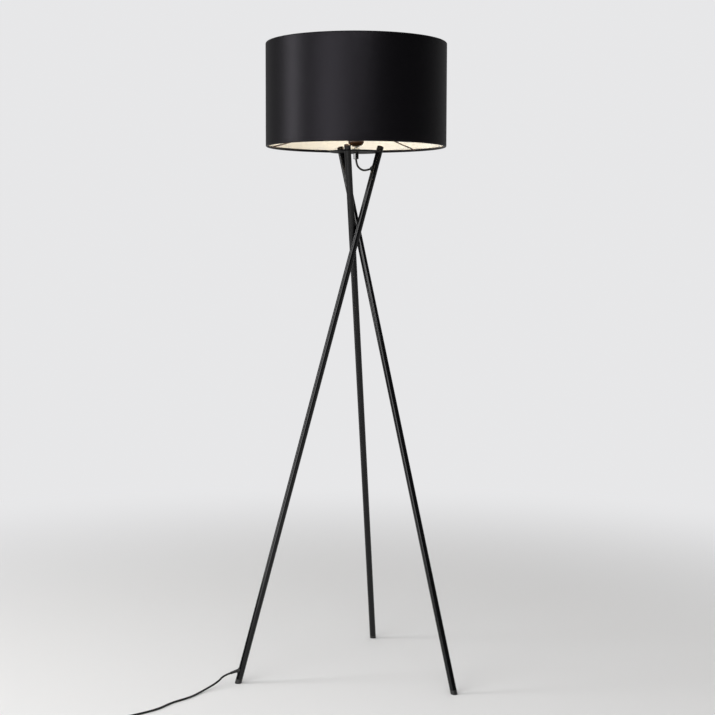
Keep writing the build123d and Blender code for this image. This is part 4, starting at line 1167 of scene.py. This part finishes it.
print("plug body faces:", len(plug_body.data.polygons))

# %% [markdown]
# The sleeve behind the plug keeps the cord from being bent sharply. It is moulded with the body, and rings
# are cut in it so that it can bend. Its outline widens towards the body and steps inwards at each groove, so
# one turned outline makes it all.

# %% Plug sleeve
SLEEVE_LEN = 24.0
SLEEVE_BORE = 2.55
SLEEVE_THIN = 3.3
SLEEVE_THICK = 4.5
GROOVES = 4
GROOVE_STEP = 3.2
GROOVE_DEPTH = 0.5

sleeve_points = [(SLEEVE_BORE, -SLEEVE_LEN), (3.1, -SLEEVE_LEN), (SLEEVE_THIN, 0.3 - SLEEVE_LEN)]
for groove in range(GROOVES):
    middle = GROOVE_STEP * (groove + 1) - SLEEVE_LEN
    surface = SLEEVE_THIN + (SLEEVE_THICK - SLEEVE_THIN) * (SLEEVE_LEN + middle) / SLEEVE_LEN
    bottom = surface - GROOVE_DEPTH
    sleeve_points += [(surface, middle - 0.6), (bottom, middle - 0.5)]
    sleeve_points += [(bottom, middle + 0.5), (surface, middle + 0.6)]
sleeve_points += [(SLEEVE_THICK, 0.6), (SLEEVE_BORE, 0.6)]
sleeve_form = turned(sleeve_points, 40)
plug_sleeve = finish_mesh(
    "mains_plug_sleeve", sleeve_form, mains_plug_rubber, ["plug_body"], plug_place, hide=False
)
print("plug sleeve faces:", len(plug_sleeve.data.polygons))

# %% [markdown]
# ## Solids that only need a finish
#
# The long tubes keep their own solids: a drawn tube has no detail but its paint. So do the studs at the
# crossing, the parts inside the lampholder and the insert in the switch, which are hidden or show only
# through gaps.

# %% Finishes on the model's own solids
PAINTED = [
    (tube_paint, ["leg_left", "leg_right", "leg_rear"]),
    (zinc, ["crossing_studs", "terminal_screws"]),
    (brass, ["screw_shell", "centre_contact"]),
    (ceramic, ["holder_core"]),
    (core_plastic, ["core_wires"]),
    (switch_plastic, ["switch_insert"]),
]
for material, nodes in PAINTED:
    for node in nodes:
        slots = frame["nodes"][node].data.materials
        slots.clear()
        slots.append(material)
print("painted solids:", sum(len(nodes) for material, nodes in PAINTED))

# %% [markdown]
# ## The cord's facts
#
# The pieces along the free cord, from the bush to the plug, are listed here. The pieces along it are
# named, so that they count with it.

CORD_SOLIDS = ["lower_port_bush", "switch_base", "switch_cover", "switch_button", "switch_reliefs"]
CORD_SOLIDS += ["switch_feet", "switch_screws", "coil_tie", "plug_pins"]
